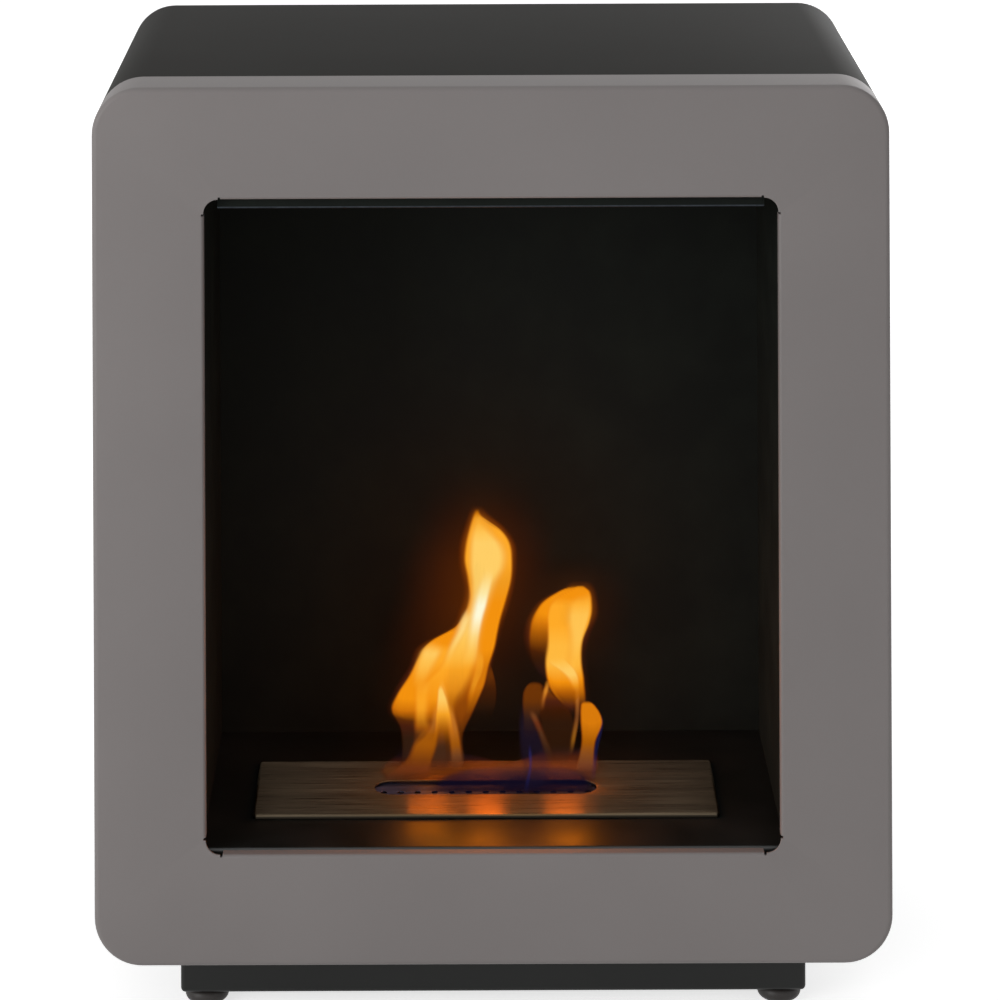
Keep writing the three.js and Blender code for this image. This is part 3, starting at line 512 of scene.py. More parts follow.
class Plane(Enum):
    """The plane in which an outline is drawn. Its depth runs along the axis that is left."""

    FRONT = (0, 2, 1)
    TOP = (0, 1, 2)
    SIDE = (1, 2, 0)

    def place(self, point: Point, depth: float) -> Place:
        """The place of an outline's point at a depth."""
        spot = [0.0, 0.0, 0.0]
        spot[self.value[0]], spot[self.value[1]], spot[self.value[2]] = point[0], point[1], depth
        return (spot[0], spot[1], spot[2])

    def ring(self, points: Iterable[Point], depth: float) -> Ring:
        """An outline's points at one depth."""
        return [self.place(point, depth) for point in points]


def arc(centre: Point, radius: float, start: float, end: float, steps: int) -> list[Point]:
    """Points along a circle, angles in degrees."""
    turns = (math.radians(start + (end - start) * i / steps) for i in range(steps + 1))
    return [(centre[0] + radius * math.cos(t), centre[1] + radius * math.sin(t)) for t in turns]


def circle(centre: Point, radius: float, sides: int = 24) -> list[Point]:
    """The corners of a many-sided ring. The first of them lies to the right."""
    return arc(centre, radius, 0.0, 360.0 * (1 - 1 / sides), sides - 1)


@dataclass(frozen=True)
class RoundedRectangle:
    """A rectangle with round corners. Its points start at the lower right corner and run left about.

    With a lead, each straight side also has a point that far from either of its ends, so that
    a section can change between a corner and a side.
    """

    width: float
    height: float
    radius: float
    centre: Point = (0.0, 0.0)
    steps: int = 8
    lead: float = 0.0

    def points(self, inset: float = 0.0, least_radius: float = 0.2) -> list[Point]:
        """The outline drawn in by an inset, or out where the inset is negative.

        Args:
            inset: how far each side moves in.
            least_radius: the corner radius at which an inner corner stops shrinking.

        Returns:
            The same number of points whatever the inset.
        """
        radius = max(self.radius - inset, least_radius)
        reach_x = self.width / 2 - inset - radius
        reach_y = self.height / 2 - inset - radius
        corners = []
        for quarter, (sx, sy) in enumerate(((1, -1), (1, 1), (-1, 1), (-1, -1))):
            middle = (self.centre[0] + sx * reach_x, self.centre[1] + sy * reach_y)
            corners.append(arc(middle, radius, 90.0 * (quarter - 1), 90.0 * quarter, self.steps))
        if not self.lead:
            return [point for corner in corners for point in corner]
        outline = []
        for corner, following in zip(corners, corners[1:] + corners[:1]):
            start, end = Vector(corner[-1]), Vector(following[0])
            along = (end - start).normalized() * self.lead
            outline += corner + [tuple(start + along), tuple(end - along)]
        return outline

    def on_corner(self) -> list[bool]:
        """For each point, whether it lies on a round corner."""
        side = [True] * (self.steps + 1) + ([False, False] if self.lead else [])
        return side * 4


def folded_section(path: Sequence[Point], sheet: float, bend: float, steps: int = 4) -> list[Point]:
    """The section of a sheet folded along a path.

    Args:
        path: corner points of one face of the sheet.
        sheet: its thickness, to the left of the path, or to the right where it is negative.
        bend: inside radius of each fold.
        steps: facets of each fold.

    Returns:
        A closed outline.
    """
    corners = [Vector(p) for p in path]
    ways = [(b - a).normalized() for a, b in zip(corners, corners[1:])]
    lefts = [Vector((-w.y, w.x)) for w in ways]
    near, far = [tuple(corners[0])], [tuple(corners[0] + lefts[0] * sheet)]
    for i in range(1, len(corners) - 1):
        turn = math.atan2(ways[i - 1].cross(ways[i]), ways[i - 1].dot(ways[i]))
        inner = turn * sheet > 0
        shift = math.tan(turn / 2) * sheet
        for side, line, radius in (
            (corners[i], near, bend + (abs(sheet) if inner else 0.0)),
            (
                corners[i] + lefts[i - 1] * sheet - ways[i - 1] * shift, far,
                bend + (0.0 if inner else abs(sheet))),
        ):
            tangent = radius * math.tan(abs(turn) / 2)
            middle = side - ways[i - 1] * tangent + lefts[i - 1] * math.copysign(radius, turn)
            first = math.degrees(math.atan2(*(-lefts[i - 1] * math.copysign(1, turn)).yx))
            line += arc(tuple(middle), radius, first, first + math.degrees(turn), steps)
    near.append(tuple(corners[-1]))
    far.append(tuple(corners[-1] + lefts[-1] * sheet))
    return near + far[::-1]


# ------------------------------------------------------------------ meshes

class Ends(Enum):
    """What becomes of the first and last ring of a loft."""

    JOINED = "joined"
    CAPPED = "capped"


def loft(rings: Sequence[Ring], ends: Ends = Ends.CAPPED) -> bmesh.types.BMesh:
    """Skins rings of equal length, in millimetres, into one closed body.

    Args:
        rings: the rings in order.
        ends: whether the last ring meets the first or both are filled.

    Returns:
        The mesh in metres, with normals outwards.
    """
    mesh = bmesh.new()
    rows = [[mesh.verts.new([v * MM for v in place]) for place in ring] for ring in rings]
    pairs = list(zip(rows, rows[1:]))
    if ends is Ends.JOINED:
        pairs.append((rows[-1], rows[0]))
    for row, following in pairs:
        for i in range(len(row)):
            j = (i + 1) % len(row)
            mesh.faces.new((row[i], row[j], following[j], following[i]))
    if ends is Ends.CAPPED:
        mesh.faces.new(rows[0][::-1])
        mesh.faces.new(rows[-1])
    return tidied(mesh)


def tidied(mesh: bmesh.types.BMesh) -> bmesh.types.BMesh:
    """Merges points that coincide, drops faces without area and turns the normals outwards."""
    bmesh.ops.remove_doubles(mesh, verts=mesh.verts, dist=1e-6)
    bmesh.ops.dissolve_degenerate(mesh, dist=1e-7, edges=mesh.edges)
    bmesh.ops.recalc_face_normals(mesh, faces=mesh.faces)
    return mesh


def prism(outline: Sequence[Point], plane: Plane, start: float, end: float) -> bmesh.types.BMesh:
    """An outline run along its plane's depth between two depths."""
    return loft([plane.ring(outline, start), plane.ring(outline, end)])


def rod(
    radius: float,
    plane: Plane,
    start: float,
    end: float,
    at: Point,
    sides: int = 24,
) -> bmesh.types.BMesh:
    """A round bar across a plane, centred on a point of it."""
    return prism(circle(at, radius, sides), plane, start, end)


def turned(profile: Sequence[Point], sides: int = 48, at: Point = (0.0, 0.0)) -> bmesh.types.BMesh:
    """A body turned about an upright axis.

    Args:
        profile: radius and height of each ring, from one end to the other.
        sides: facets round the axis.
        at: where the axis stands.

    Returns:
        The closed mesh.
    """
    return loft([Plane.TOP.ring(circle(at, r, sides), z) for r, z in profile])


def hexagon(across: float, at: Point = (0.0, 0.0), per_side: int = 4) -> list[Point]:
    """A hexagon by its size across the flats, with a few points along each side."""
    corners = [Vector(p) for p in arc(at, across / math.sqrt(3), 0.0, 300.0, 5)]
    return [
        tuple(a.lerp(b, i / per_side))
        for a, b in zip(corners, corners[1:] + corners[:1])
        for i in range(per_side)
    ]


def joined(*meshes: bmesh.types.BMesh) -> bmesh.types.BMesh:
    """Several bodies as one mesh. The others are used up."""
    whole = meshes[0]
    for mesh in meshes[1:]:
        carried = bpy.data.meshes.new("carried")
        mesh.to_mesh(carried)
        whole.from_mesh(carried)
        mesh.free()
        bpy.data.meshes.remove(carried)
    return whole


def as_object(mesh: bmesh.types.BMesh, name: str) -> bpy.types.Object:
    """A mesh as an object of the scene. The mesh is used up."""
    data = bpy.data.meshes.new(name)
    mesh.to_mesh(data)
    mesh.free()
    made = bpy.data.objects.new(name, data)
    bpy.context.scene.collection.objects.link(made)
    return made


def carved(mesh: bmesh.types.BMesh, *cutters: bmesh.types.BMesh) -> bmesh.types.BMesh:
    """A body less its cutters, which lie clear of each other. All of them are used up."""
    body, cutter = as_object(mesh, "body_to_carve"), as_object(joined(*cutters), "cutter")
    cut = body.modifiers.new("cut", "BOOLEAN")
    cut.operation, cut.solver, cut.object = "DIFFERENCE", "EXACT", cutter
    result = bmesh.new()
    result.from_object(body, bpy.context.evaluated_depsgraph_get())
    for used in (body, cutter):
        data = used.data
        bpy.data.objects.remove(used)
        bpy.data.meshes.remove(data)
    bmesh.ops.remove_doubles(result, verts=result.verts, dist=2e-6)
    return result


@dataclass(frozen=True)
class Extent:
    """A node's box at rest, in millimetres."""

    low: Place
    high: Place

    @classmethod
    def of(cls, node: str) -> Extent:
        """The box of a node of the frame."""
        low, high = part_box(node)
        return cls(tuple(v / MM for v in low), tuple(v / MM for v in high))

    def middle(self, axis: int) -> float:
        """The middle of the box along an axis."""
        return (self.low[axis] + self.high[axis]) / 2

    def centre(self, across: int, along: int) -> Point:
        """The middle of the box seen down the third axis."""
        return (self.middle(across), self.middle(along))

    def size(self, axis: int) -> float:
        """The length of the box along an axis."""
        return self.high[axis] - self.low[axis]


# ------------------------------------------------------------------ pieces

CASING = "casing"
BURNER = "burner"


class Finishes:
    """Makes each finish's material once."""

    def __init__(self) -> None:
        """Starts with none made."""
        self.made: dict[str, bpy.types.Material] = {}

    def of(self, finish: Any) -> bpy.types.Material:
        """The material of a finish."""
        if finish.name not in self.made:
            self.made[finish.name] = finish.build()
        return self.made[finish.name]


FINISHES = Finishes()


def make_piece(
    name: str,
    mesh: bmesh.types.BMesh,
    finish: Any,
    stands_for: Sequence[str] = (),
    body: str = CASING,
    sharp: float = 32.0,
    bevel: float = 0.0,
) -> bpy.types.Object:
    """Puts a finished piece into the scene.

    Args:
        name: the piece's name.
        mesh: its mesh, which is used up.
        finish: what covers it.
        stands_for: the frame's nodes that it replaces.
        body: the frame's body that it rides on.
        sharp: edges over this many degrees stay crisp.
        bevel: width of the small bevel on crisp edges, or 0 for none.

    Returns:
        The object.
    """
    made = as_object(mesh, name)
    made.data.materials.append(FINISHES.of(finish))
    made.data.polygons.foreach_set("use_smooth", [True] * len(made.data.polygons))
    made.data.set_sharp_from_angle(angle=math.radians(sharp))
    if bevel:
        soften(made, bevel)
    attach(made, body)
    if stands_for:
        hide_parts(*stands_for)
    return made


def soften(piece: bpy.types.Object, width: float, segments: int = 2) -> None:
    """Rounds a piece's crisp edges by a width in millimetres."""
    rounding = piece.modifiers.new("rounded_edges", "BEVEL")
    rounding.width, rounding.segments = width * MM, segments
    rounding.limit_method, rounding.angle_limit = "ANGLE", math.radians(40)
    rounding.harden_normals = True


# ------------------------------------------------------------------ casing

@dataclass
class FrontFrame:
    """The grey frame: a face, a band folded back round it and flanges folded back round the window."""

    sheet: float = 1.5
    corner_radius: float = 30.0
    edge_radius: float = 3.5
    border: float = 70.0
    window_radius: float = 9.0
    flange_depth: float = 8.0
    bend: float = 0.6
    cut_edge: float = 0.3
    notch: float = 1.5
    notch_radius: float = 0.25
    stud_radius: float = 2.0
    stud_length: float = 8.0
    stud_places: tuple[Point, ...] = ((197.0, 200.0), (197.0, 450.0), (100.0, 547.0))
    steps: int = 14

    def build(self) -> list[bpy.types.Object]:
        """Makes the frame with its weld studs."""
        extent = Extent.of("front_frame")
        studs = []
        start = extent.low[1] + self.sheet / 2
        end = extent.low[1] + self.sheet + self.stud_length
        for x, z in self.stud_places:
            for side in (-1, 1):
                studs.append(rod(self.stud_radius, Plane.FRONT, start, end, (side * x, z), 16))
        mesh = joined(carved(self.sheet_body(extent), *self.notches(extent)), *studs)
        return [make_piece("grey_front_frame", mesh, GREY_COAT, ["front_frame"], sharp=40)]

    def window(self, extent: Extent) -> RoundedRectangle:
        """The window's outline."""
        return RoundedRectangle(
            extent.size(0) - 2 * self.border, extent.size(2) - 2 * self.border, self.window_radius,
            extent.centre(0, 2), self.steps, self.notch / 2)

    def sheet_body(self, extent: Extent) -> bmesh.types.BMesh:
        """The folded sheet: rings from the window's edge round the band and back."""
        outer = RoundedRectangle(
            extent.size(0), extent.size(2), self.corner_radius,
            extent.centre(0, 2), self.steps, self.notch / 2)
        front, back = extent.low[1], extent.high[1]
        section = self.band_section(back - front)
        rings = [Plane.FRONT.ring(outer.points(inset), front + depth) for inset, depth in section]
        window = self.window(extent)
        for side, corner in zip(self.flange_section(), self.cut_section()):
            folded = Plane.FRONT.ring(window.points(-side[0]), front + side[1])
            cut = Plane.FRONT.ring(window.points(-corner[0]), front + corner[1])
            rings.append([b if on_corner else a for on_corner, a, b in zip(window.on_corner(), folded, cut)])
        return loft(rings, Ends.JOINED)

    def band_section(self, depth: float) -> list[Point]:
        """Inset and depth round the outer edge, from the face back along the band and in again."""
        edge, inner, cut = self.edge_radius, self.edge_radius - self.sheet, self.cut_edge
        turns = [math.radians(90 * i / 8) for i in range(9)]
        outside = [(edge - edge * math.sin(t), edge - edge * math.cos(t)) for t in turns]
        inside = [(edge - inner * math.sin(t), edge - inner * math.cos(t)) for t in reversed(turns)]
        return [
            *outside, (0.0, depth - cut), (cut, depth),
            (self.sheet - cut, depth), (self.sheet, depth - cut), *inside,
        ]

    def flange_section(self) -> list[Point]:
        """Outset and depth along a straight side of the window, from the sheet's back to its face."""
        inner, outer, cut = self.bend, self.bend + self.sheet, self.cut_edge
        turns = [math.radians(90 * i / 5) for i in range(6)]
        behind = [(outer - inner * math.sin(t), outer - inner * math.cos(t)) for t in turns]
        before = [(outer - outer * math.sin(t), outer - outer * math.cos(t)) for t in reversed(turns)]
        end = self.flange_depth
        return [
            *behind, (self.sheet, end - cut), (self.sheet - cut, end), (cut, end), (0.0, end - cut), *before]

    def cut_section(self) -> list[Point]:
        """Outset and depth at a round corner of the window, where the sheet is only cut."""
        reach, cut = self.bend + self.sheet, self.cut_edge
        behind = [(reach - (reach - 3 * cut) * i / 5, self.sheet) for i in range(6)]
        edge = [(2 * cut, self.sheet), (cut, self.sheet), (0.0, self.sheet - cut), (0.0, self.sheet / 2)]
        before = [(0.0, cut), (cut / 3, cut / 3), (cut, 0.0), (2 * cut, 0.0), (3 * cut, 0.0), (reach, 0.0)]
        return [*behind, *edge, *before]

    def notches(self, extent: Extent) -> list[bmesh.types.BMesh]:
        """Cutters for the relief notches where each flange ends."""
        half_x = extent.size(0) / 2 - self.border
        half_z = extent.size(2) / 2 - self.border
        from_corner = self.window_radius + self.notch / 2
        short, long = self.notch / 2, self.notch
        front, back = extent.low[1] - OVERRUN, extent.low[1] + self.flange_depth + OVERRUN
        cutters = []
        for sx in (-1, 1):
            for sz in (-1, 1):
                for x, z, wide, tall in (
                    (half_x - from_corner, half_z, short, long),
                    (half_x, half_z - from_corner, long, short),
                ):
                    at = (sx * x + extent.middle(0), sz * z + extent.middle(2))
                    box = RoundedRectangle(2 * wide, 2 * tall, self.notch_radius, at, 2)
                    cutters.append(prism(box.points(), Plane.FRONT, front, back))
        return cutters


@dataclass
class BodySleeve:
    """The charcoal tube behind the frame, with a lip turned in at the back for the panel's screws."""

    sheet: float = 1.5
    corner_radius: float = 30.0
    lip: float = 14.0
    bend: float = 1.0
    cut_edge: float = 0.3
    screw_hole: float = 2.0
    bolt_hole: float = 3.3
    steps: int = 14

    def build(self) -> list[bpy.types.Object]:
        """Makes the sleeve with its holes."""
        extent = Extent.of("body_sleeve")
        outline = RoundedRectangle(
            extent.size(0), extent.size(2), self.corner_radius, extent.centre(0, 2), self.steps)
        front, back = extent.low[1], extent.high[1]
        rings = [Plane.FRONT.ring(outline.points(inset), depth) for inset, depth in self.section(front, back)]
        mesh = carved(loft(rings, Ends.JOINED), *self.holes(back, extent.low[2]))
        return [
            make_piece("charcoal_sleeve", mesh, CHARCOAL_COAT, ["body_sleeve"], sharp=40)]

    def section(self, front: float, back: float) -> list[Point]:
        """Inset and depth from the front edge back along the outside, round the lip and forward again."""
        cut, outer = self.cut_edge, self.bend + self.sheet
        turns = [math.radians(90 * i / 5) for i in range(6)]
        outside = [(outer - outer * math.cos(t), back - outer + outer * math.sin(t)) for t in turns]
        inside = [
            (outer - self.bend * math.cos(t), back - outer + self.bend * math.sin(t))
            for t in reversed(turns)
        ]
        return [
            (self.sheet - cut, front), (cut, front), (0.0, front + cut), *outside,
            (self.lip - cut, back), (self.lip, back - cut),
            (self.lip, back - self.sheet + cut), (self.lip - cut, back - self.sheet),
            *inside, (self.sheet, front + cut),
        ]

    def holes(self, back: float, low: float) -> list[bmesh.types.BMesh]:
        """Cutters for the screws of the back panel and the bolts of the plinth."""
        cutters = []
        for number in BACK_SCREW_NUMBERS:
            screw = Extent.of(f"back_screw_{number}")
            start, end = back - 2 * self.sheet, back + OVERRUN
            cutters.append(rod(self.screw_hole, Plane.FRONT, start, end, screw.centre(0, 2), 16))
        for place in Plinth.CORNERS:
            bolt = Extent.of(f"plinth_bolt_{place}")
            start, end = low - OVERRUN, low + self.sheet + OVERRUN
            cutters.append(rod(self.bolt_hole, Plane.TOP, start, end, bolt.centre(0, 1), 16))
        return cutters


@dataclass
class BackPanel:
    """The vented back panel and its countersunk screws."""

    corner_radius: float = 27.0
    edge: float = 0.25
    vent_width: float = 6.0
    vent_height: float = 50.0
    vent_pitch: float = 24.0
    vent_count: int = 12
    vent_margin: float = 42.0
    screw_radius: float = 1.7
    screw_clearance: float = 0.3
    head_radius: float = 3.2
    countersink: float = 3.5
    socket_size: float = 2.5
    socket_depth: float = 0.9
    steps: int = 12

    def build(self) -> list[bpy.types.Object]:
        """Makes the panel and its eight screws."""
        extent = Extent.of("back_panel")
        pieces = [
            make_piece(
                "vented_back_panel", self.panel(extent), CHARCOAL_COAT, ["back_panel"],
                sharp=40)]
        for number in BACK_SCREW_NUMBERS:
            node = f"back_screw_{number}"
            pieces.append(
                make_piece(f"countersunk_screw_{number}", self.screw(Extent.of(node)), ZINC, [node]))
        return pieces

    def panel(self, extent: Extent) -> bmesh.types.BMesh:
        """The panel with two rows of upright slots and a countersink for each screw."""
        outline = RoundedRectangle(
            extent.size(0), extent.size(2), self.corner_radius, extent.centre(0, 2), self.steps)
        front, back = extent.low[1], extent.high[1]
        section = ((self.edge, front), (0.0, front + self.edge), (0.0, back - self.edge), (self.edge, back))
        body = loft([Plane.FRONT.ring(outline.points(inset), depth) for inset, depth in section])
        cutters = []
        for z in (extent.low[2] + self.vent_margin, extent.high[2] - self.vent_margin):
            for i in range(self.vent_count):
                x = (i - (self.vent_count - 1) / 2) * self.vent_pitch
                slot = RoundedRectangle(self.vent_width, self.vent_height, self.vent_width / 2, (x, z), 6)
                cutters.append(prism(slot.points(), Plane.FRONT, front - OVERRUN, back + OVERRUN))
        for number in BACK_SCREW_NUMBERS:
            screw = Extent.of(f"back_screw_{number}")
            at = screw.centre(0, 2)
            narrow = circle(at, self.screw_radius + self.screw_clearance)
            wide = circle(at, self.countersink)
            cutters.append(loft([
                Plane.FRONT.ring(narrow, front - OVERRUN), Plane.FRONT.ring(narrow, front),
                Plane.FRONT.ring(wide, back), Plane.FRONT.ring(wide, back + OVERRUN)]))
        return carved(body, *cutters)

    def screw(self, extent: Extent) -> bmesh.types.BMesh:
        """A countersunk screw with a six-sided socket, along Y."""
        at = extent.centre(0, 2)
        back, front = extent.high[1], extent.low[1]
        seat = back - self.screw_radius + 0.2
        rings = [
            (circle(at, r), depth)
            for r, depth in (
                (self.screw_radius * 0.6, front), (self.screw_radius, front + 0.7), (self.screw_radius, seat),
                (self.head_radius - 0.1, back - 0.2), (self.head_radius, back - 0.1),
                (self.head_radius - 0.15, back), (self.socket_size * 0.66, back),
            )
        ]
        rings += [
            (hexagon(self.socket_size, at), back - 0.1),
            (hexagon(self.socket_size, at), back - self.socket_depth)]
        return loft([Plane.FRONT.ring(points, depth) for points, depth in rings])


# ------------------------------------------------------------------ firebox

@dataclass
class Firebox:
    """The black liner: floor with a front hem, three walls, a top and the deflector strip."""

    sheet: float = 1.5
    bend: float = 0.8
    edge: float = 0.2
    cut_out: Point = (272.0, 64.6)
    cut_out_radius: float = 6.0
    hem_height: float = 8.0
    stud_hole: float = 2.3
    deflector_sheet: float = 1.2
    deflector_hem: float = 2.5
    deflector_screw_hole: float = 2.0
    hole_reach: float = 3.0
    screw_shank: float = 1.7
    screw_head_height: float = 2.0
    screw_socket: float = 2.5

    def build(self) -> list[bpy.types.Object]:
        """Makes every sheet of the liner."""
        return [self.floor(), *self.sides(), self.back(), self.top(), *self.deflector(), *self.screws()]

    def floor(self) -> bpy.types.Object:
        """The floor, folded down at the front, with the burner's cut-out."""
        extent = Extent.of("firebox_floor")
        burner = Extent.of("burner_tray")
        (front, low, high), back = extent.low[1:] + extent.high[2:], extent.high[1]
        section = folded_section([(front, low), (front, high), (back, high)], -self.sheet, self.bend)
        hole = RoundedRectangle(*self.cut_out, self.cut_out_radius, (0.0, burner.middle(1)), 6)
        mesh = carved(
            prism(section, Plane.SIDE, extent.low[0], extent.high[0]),
            prism(hole.points(), Plane.TOP, high - self.hole_reach, high + self.hole_reach))
        return make_piece("liner_floor", mesh, FLOOR_PAINT, ["firebox_floor"], bevel=self.edge)

    def hole(self, radius: float, plane: Plane, face: float, fastener: Extent) -> bmesh.types.BMesh:
        """A cutter through a sheet from its face, in line with a fastener."""
        across, along, _ = plane.value
        return rod(radius, plane, face - OVERRUN, face + self.hole_reach, fastener.centre(across, along), 16)

    def sides(self) -> list[bpy.types.Object]:
        """The two side walls with their tabs."""
        pieces = []
        for side, sign in (("left", -1), ("right", 1)):
            extent = Extent.of(f"firebox_{side}")
            outer = extent.low[0] if sign < 0 else extent.high[0]
            inner = extent.high[0] if sign < 0 else extent.low[0]
            path = [(inner, extent.high[1]), (inner, extent.low[1]), (outer, extent.low[1])]
            section = folded_section(path, sign * self.sheet, self.bend)
            nuts = [Extent.of(f"liner_nut_{side}_{level}") for level in ("lower", "upper")]
            holes = [self.hole(self.stud_hole, Plane.FRONT, extent.low[1], nut) for nut in nuts]
            mesh = carved(prism(section, Plane.TOP, extent.low[2], extent.high[2]), *holes)
            pieces.append(
                make_piece(
                    f"liner_{side}_wall", mesh, WALL_PAINT, [f"firebox_{side}"],
                    bevel=self.edge))
        return pieces

    def back(self) -> bpy.types.Object:
        """The back wall."""
        extent = Extent.of("firebox_back")
        outline = [
            (extent.low[0], extent.low[2]), (extent.high[0], extent.low[2]), (extent.high[0], extent.high[2]),
            (extent.low[0], extent.high[2])]
        mesh = prism(outline, Plane.FRONT, extent.low[1], extent.high[1])
        return make_piece(
            "liner_back_wall", mesh, WALL_PAINT, ["firebox_back"], bevel=self.edge)

    def top(self) -> bpy.types.Object:
        """The top with its upright tab at the front."""
        extent = Extent.of("firebox_top")
        path = [
            (extent.low[1], extent.high[2]), (extent.low[1], extent.low[2]), (extent.high[1], extent.low[2])]
        section = folded_section(path, self.sheet, self.bend)
        holes = []
        for side in ("left", "right"):
            nut = Extent.of(f"liner_nut_top_{side}")
            screw = Extent.of(f"deflector_screw_{side}")
            holes.append(self.hole(self.stud_hole, Plane.FRONT, extent.low[1], nut))
            holes.append(self.hole(self.deflector_screw_hole, Plane.TOP, extent.low[2], screw))
        mesh = carved(prism(section, Plane.SIDE, extent.low[0], extent.high[0]), *holes)
        return make_piece("liner_top", mesh, WALL_PAINT, ["firebox_top"], bevel=self.edge)

    def deflector(self) -> list[bpy.types.Object]:
        """The strip behind the window's top edge, with a rounded hem rubbed to bare steel."""
        extent = Extent.of("top_deflector")
        front, back, low, high = extent.low[1], extent.high[1], extent.low[2], extent.high[2]
        path = [(front, low + self.deflector_hem / 2), (front, high), (back, high)]
        leaf = folded_section(path, -self.deflector_sheet, self.bend)
        holes = []
        for side in ("left", "right"):
            screw = Extent.of(f"deflector_screw_{side}")
            start, end = high - self.hole_reach, high + OVERRUN
            holes.append(rod(self.deflector_screw_hole, Plane.TOP, start, end, screw.centre(0, 1), 16))
        strip = carved(prism(leaf, Plane.SIDE, extent.low[0], extent.high[0]), *holes)
        radius = self.deflector_hem / 2
        hem = rod(radius, Plane.SIDE, extent.low[0], extent.high[0], (front + radius, low + radius), 20)
        return [
            make_piece(
                "deflector_strip", strip, WALL_PAINT, ["top_deflector"], bevel=self.edge),
            make_piece("deflector_hem", hem, HEM_STEEL, bevel=self.edge),
        ]

    def screws(self) -> list[bpy.types.Object]:
        """The pan-head screws that hold the deflector."""
        pieces = []
        for side in ("left", "right"):
            extent = Extent.of(f"deflector_screw_{side}")
            head, shank = extent.size(0) / 2, self.screw_shank
            at = extent.centre(0, 1)
            low, high = extent.low[2], extent.high[2]
            seat = low + self.screw_head_height
            socket = hexagon(self.screw_socket, at)
            rings = [
                Plane.TOP.ring(socket, low + 1.1), Plane.TOP.ring(socket, low + 0.1),
                *(Plane.TOP.ring(circle(at, r), z) for r, z in (
                    (2.0, low), (head - 0.8, low + 0.1), (head - 0.2, low + 0.7), (head, low + 1.3),
                    (head, seat), (shank, seat), (shank, high - 0.6), (shank * 0.6, high))),
            ]
            pieces.append(
                make_piece(f"pan_head_screw_{side}", loft(rings), ZINC, [f"deflector_screw_{side}"]))
        return pieces


@dataclass
class HiddenSteelwork:
    """What the casing hides: collar, heat shield with its spacers, floor channels and weld nuts."""

    collar_sheet: float = 1.5
    collar_radius: float = 28.2
    shield_sheet: float = 1.0
    support_sheet: float = 2.0
    bend: float = 0.8
    edge: float = 0.15
    nut_size: float = 7.0
    nut_bore: float = 2.1
    spacer_sides: int = 48

    def build(self) -> list[bpy.types.Object]:
        """Makes the hidden pieces."""
        return [self.collar(), self.shield(), *self.spacers(), *self.supports(), *self.nuts()]

    def collar(self) -> bpy.types.Object:
        """The collar inside the joint of frame and sleeve."""
        extent = Extent.of("joining_collar")
        outline = RoundedRectangle(
            extent.size(0), extent.size(2), self.collar_radius, extent.centre(0, 2), 12)
        section = (
            (0.0, extent.low[1]), (0.0, extent.high[1]), (self.collar_sheet, extent.high[1]),
            (self.collar_sheet, extent.low[1]))
        mesh = loft([Plane.FRONT.ring(outline.points(inset), depth) for inset, depth in section], Ends.JOINED)
        return make_piece(
            "galvanised_collar", mesh, GALVANISED, ["joining_collar"], bevel=self.edge)

    def shield(self) -> bpy.types.Object:
        """The L of thin sheet over and behind the liner."""
        extent = Extent.of("heat_shield")
        path = [
            (extent.high[1], extent.low[2]), (extent.high[1], extent.high[2]),
            (extent.low[1], extent.high[2])]
        section = folded_section(path, self.shield_sheet, self.bend)
        mesh = prism(section, Plane.SIDE, extent.low[0], extent.high[0])
        return make_piece(
            "galvanised_shield", mesh, GALVANISED, ["heat_shield"], bevel=self.edge)

    def spacers(self) -> list[bpy.types.Object]:
        """The turned spacers that hold the shield off the liner."""
        names = [f"spacer_back_{side}_{level}" for side in ("left", "right") for level in ("lower", "upper")]
        names += [f"spacer_top_{side}" for side in ("left", "right")]
        pieces = []
        for name in names:
            extent = Extent.of(name)
            upright = "top" in name
            plane, axis = (Plane.TOP, 2) if upright else (Plane.FRONT, 1)
            at = extent.centre(0, 1) if upright else extent.centre(0, 2)
            radius, low, high = extent.size(0) / 2, extent.low[axis], extent.high[axis]
            waist = 0.3 * (high - low)
            profile = (
                (radius - 0.5, low), (radius, low + 0.5), (radius, low + waist),
                (radius - 0.8, low + waist + 0.8), (radius - 0.8, high - waist - 0.8),
                (radius, high - waist), (radius, high - 0.5), (radius - 0.5, high))
            mesh = loft([plane.ring(circle(at, r, self.spacer_sides), depth) for r, depth in profile])
            pieces.append(make_piece(f"turned_{name}", mesh, ZINC, [name]))
        return pieces

    def supports(self) -> list[bpy.types.Object]:
        """The channels under the liner floor."""
        pieces = []
        for side, sign in (("left", -1), ("right", 1)):
            extent = Extent.of(f"floor_support_{side}")
            inner, outer = (extent.high[0], extent.low[0]) if sign < 0 else (extent.low[0], extent.high[0])
            path = [
                (outer, extent.high[2]), (inner, extent.high[2]), (inner, extent.low[2]),
                (outer, extent.low[2])]
            section = folded_section(path, sign * self.support_sheet, self.bend)
            mesh = prism(section, Plane.FRONT, extent.low[1], extent.high[1])
            pieces.append(
                make_piece(
                    f"folded_channel_{side}", mesh, GALVANISED, [f"floor_support_{side}"],
                    bevel=self.edge))
        return pieces

    def nuts(self) -> list[bpy.types.Object]:
        """The nuts on the frame's weld studs."""
        names = [f"liner_nut_{side}_{level}" for side in ("left", "right") for level in ("lower", "upper")]
        names += [f"liner_nut_top_{side}" for side in ("left", "right")]
        return [
            make_piece(f"hex_{name}", self.nut(Extent.of(name)), ZINC, [name])
            for name in names
        ]

    def nut(self, extent: Extent) -> bmesh.types.BMesh:
        """A nut on a stud of the frame."""
        return hex_nut(extent, Plane.FRONT, self.nut_size, self.nut_bore)


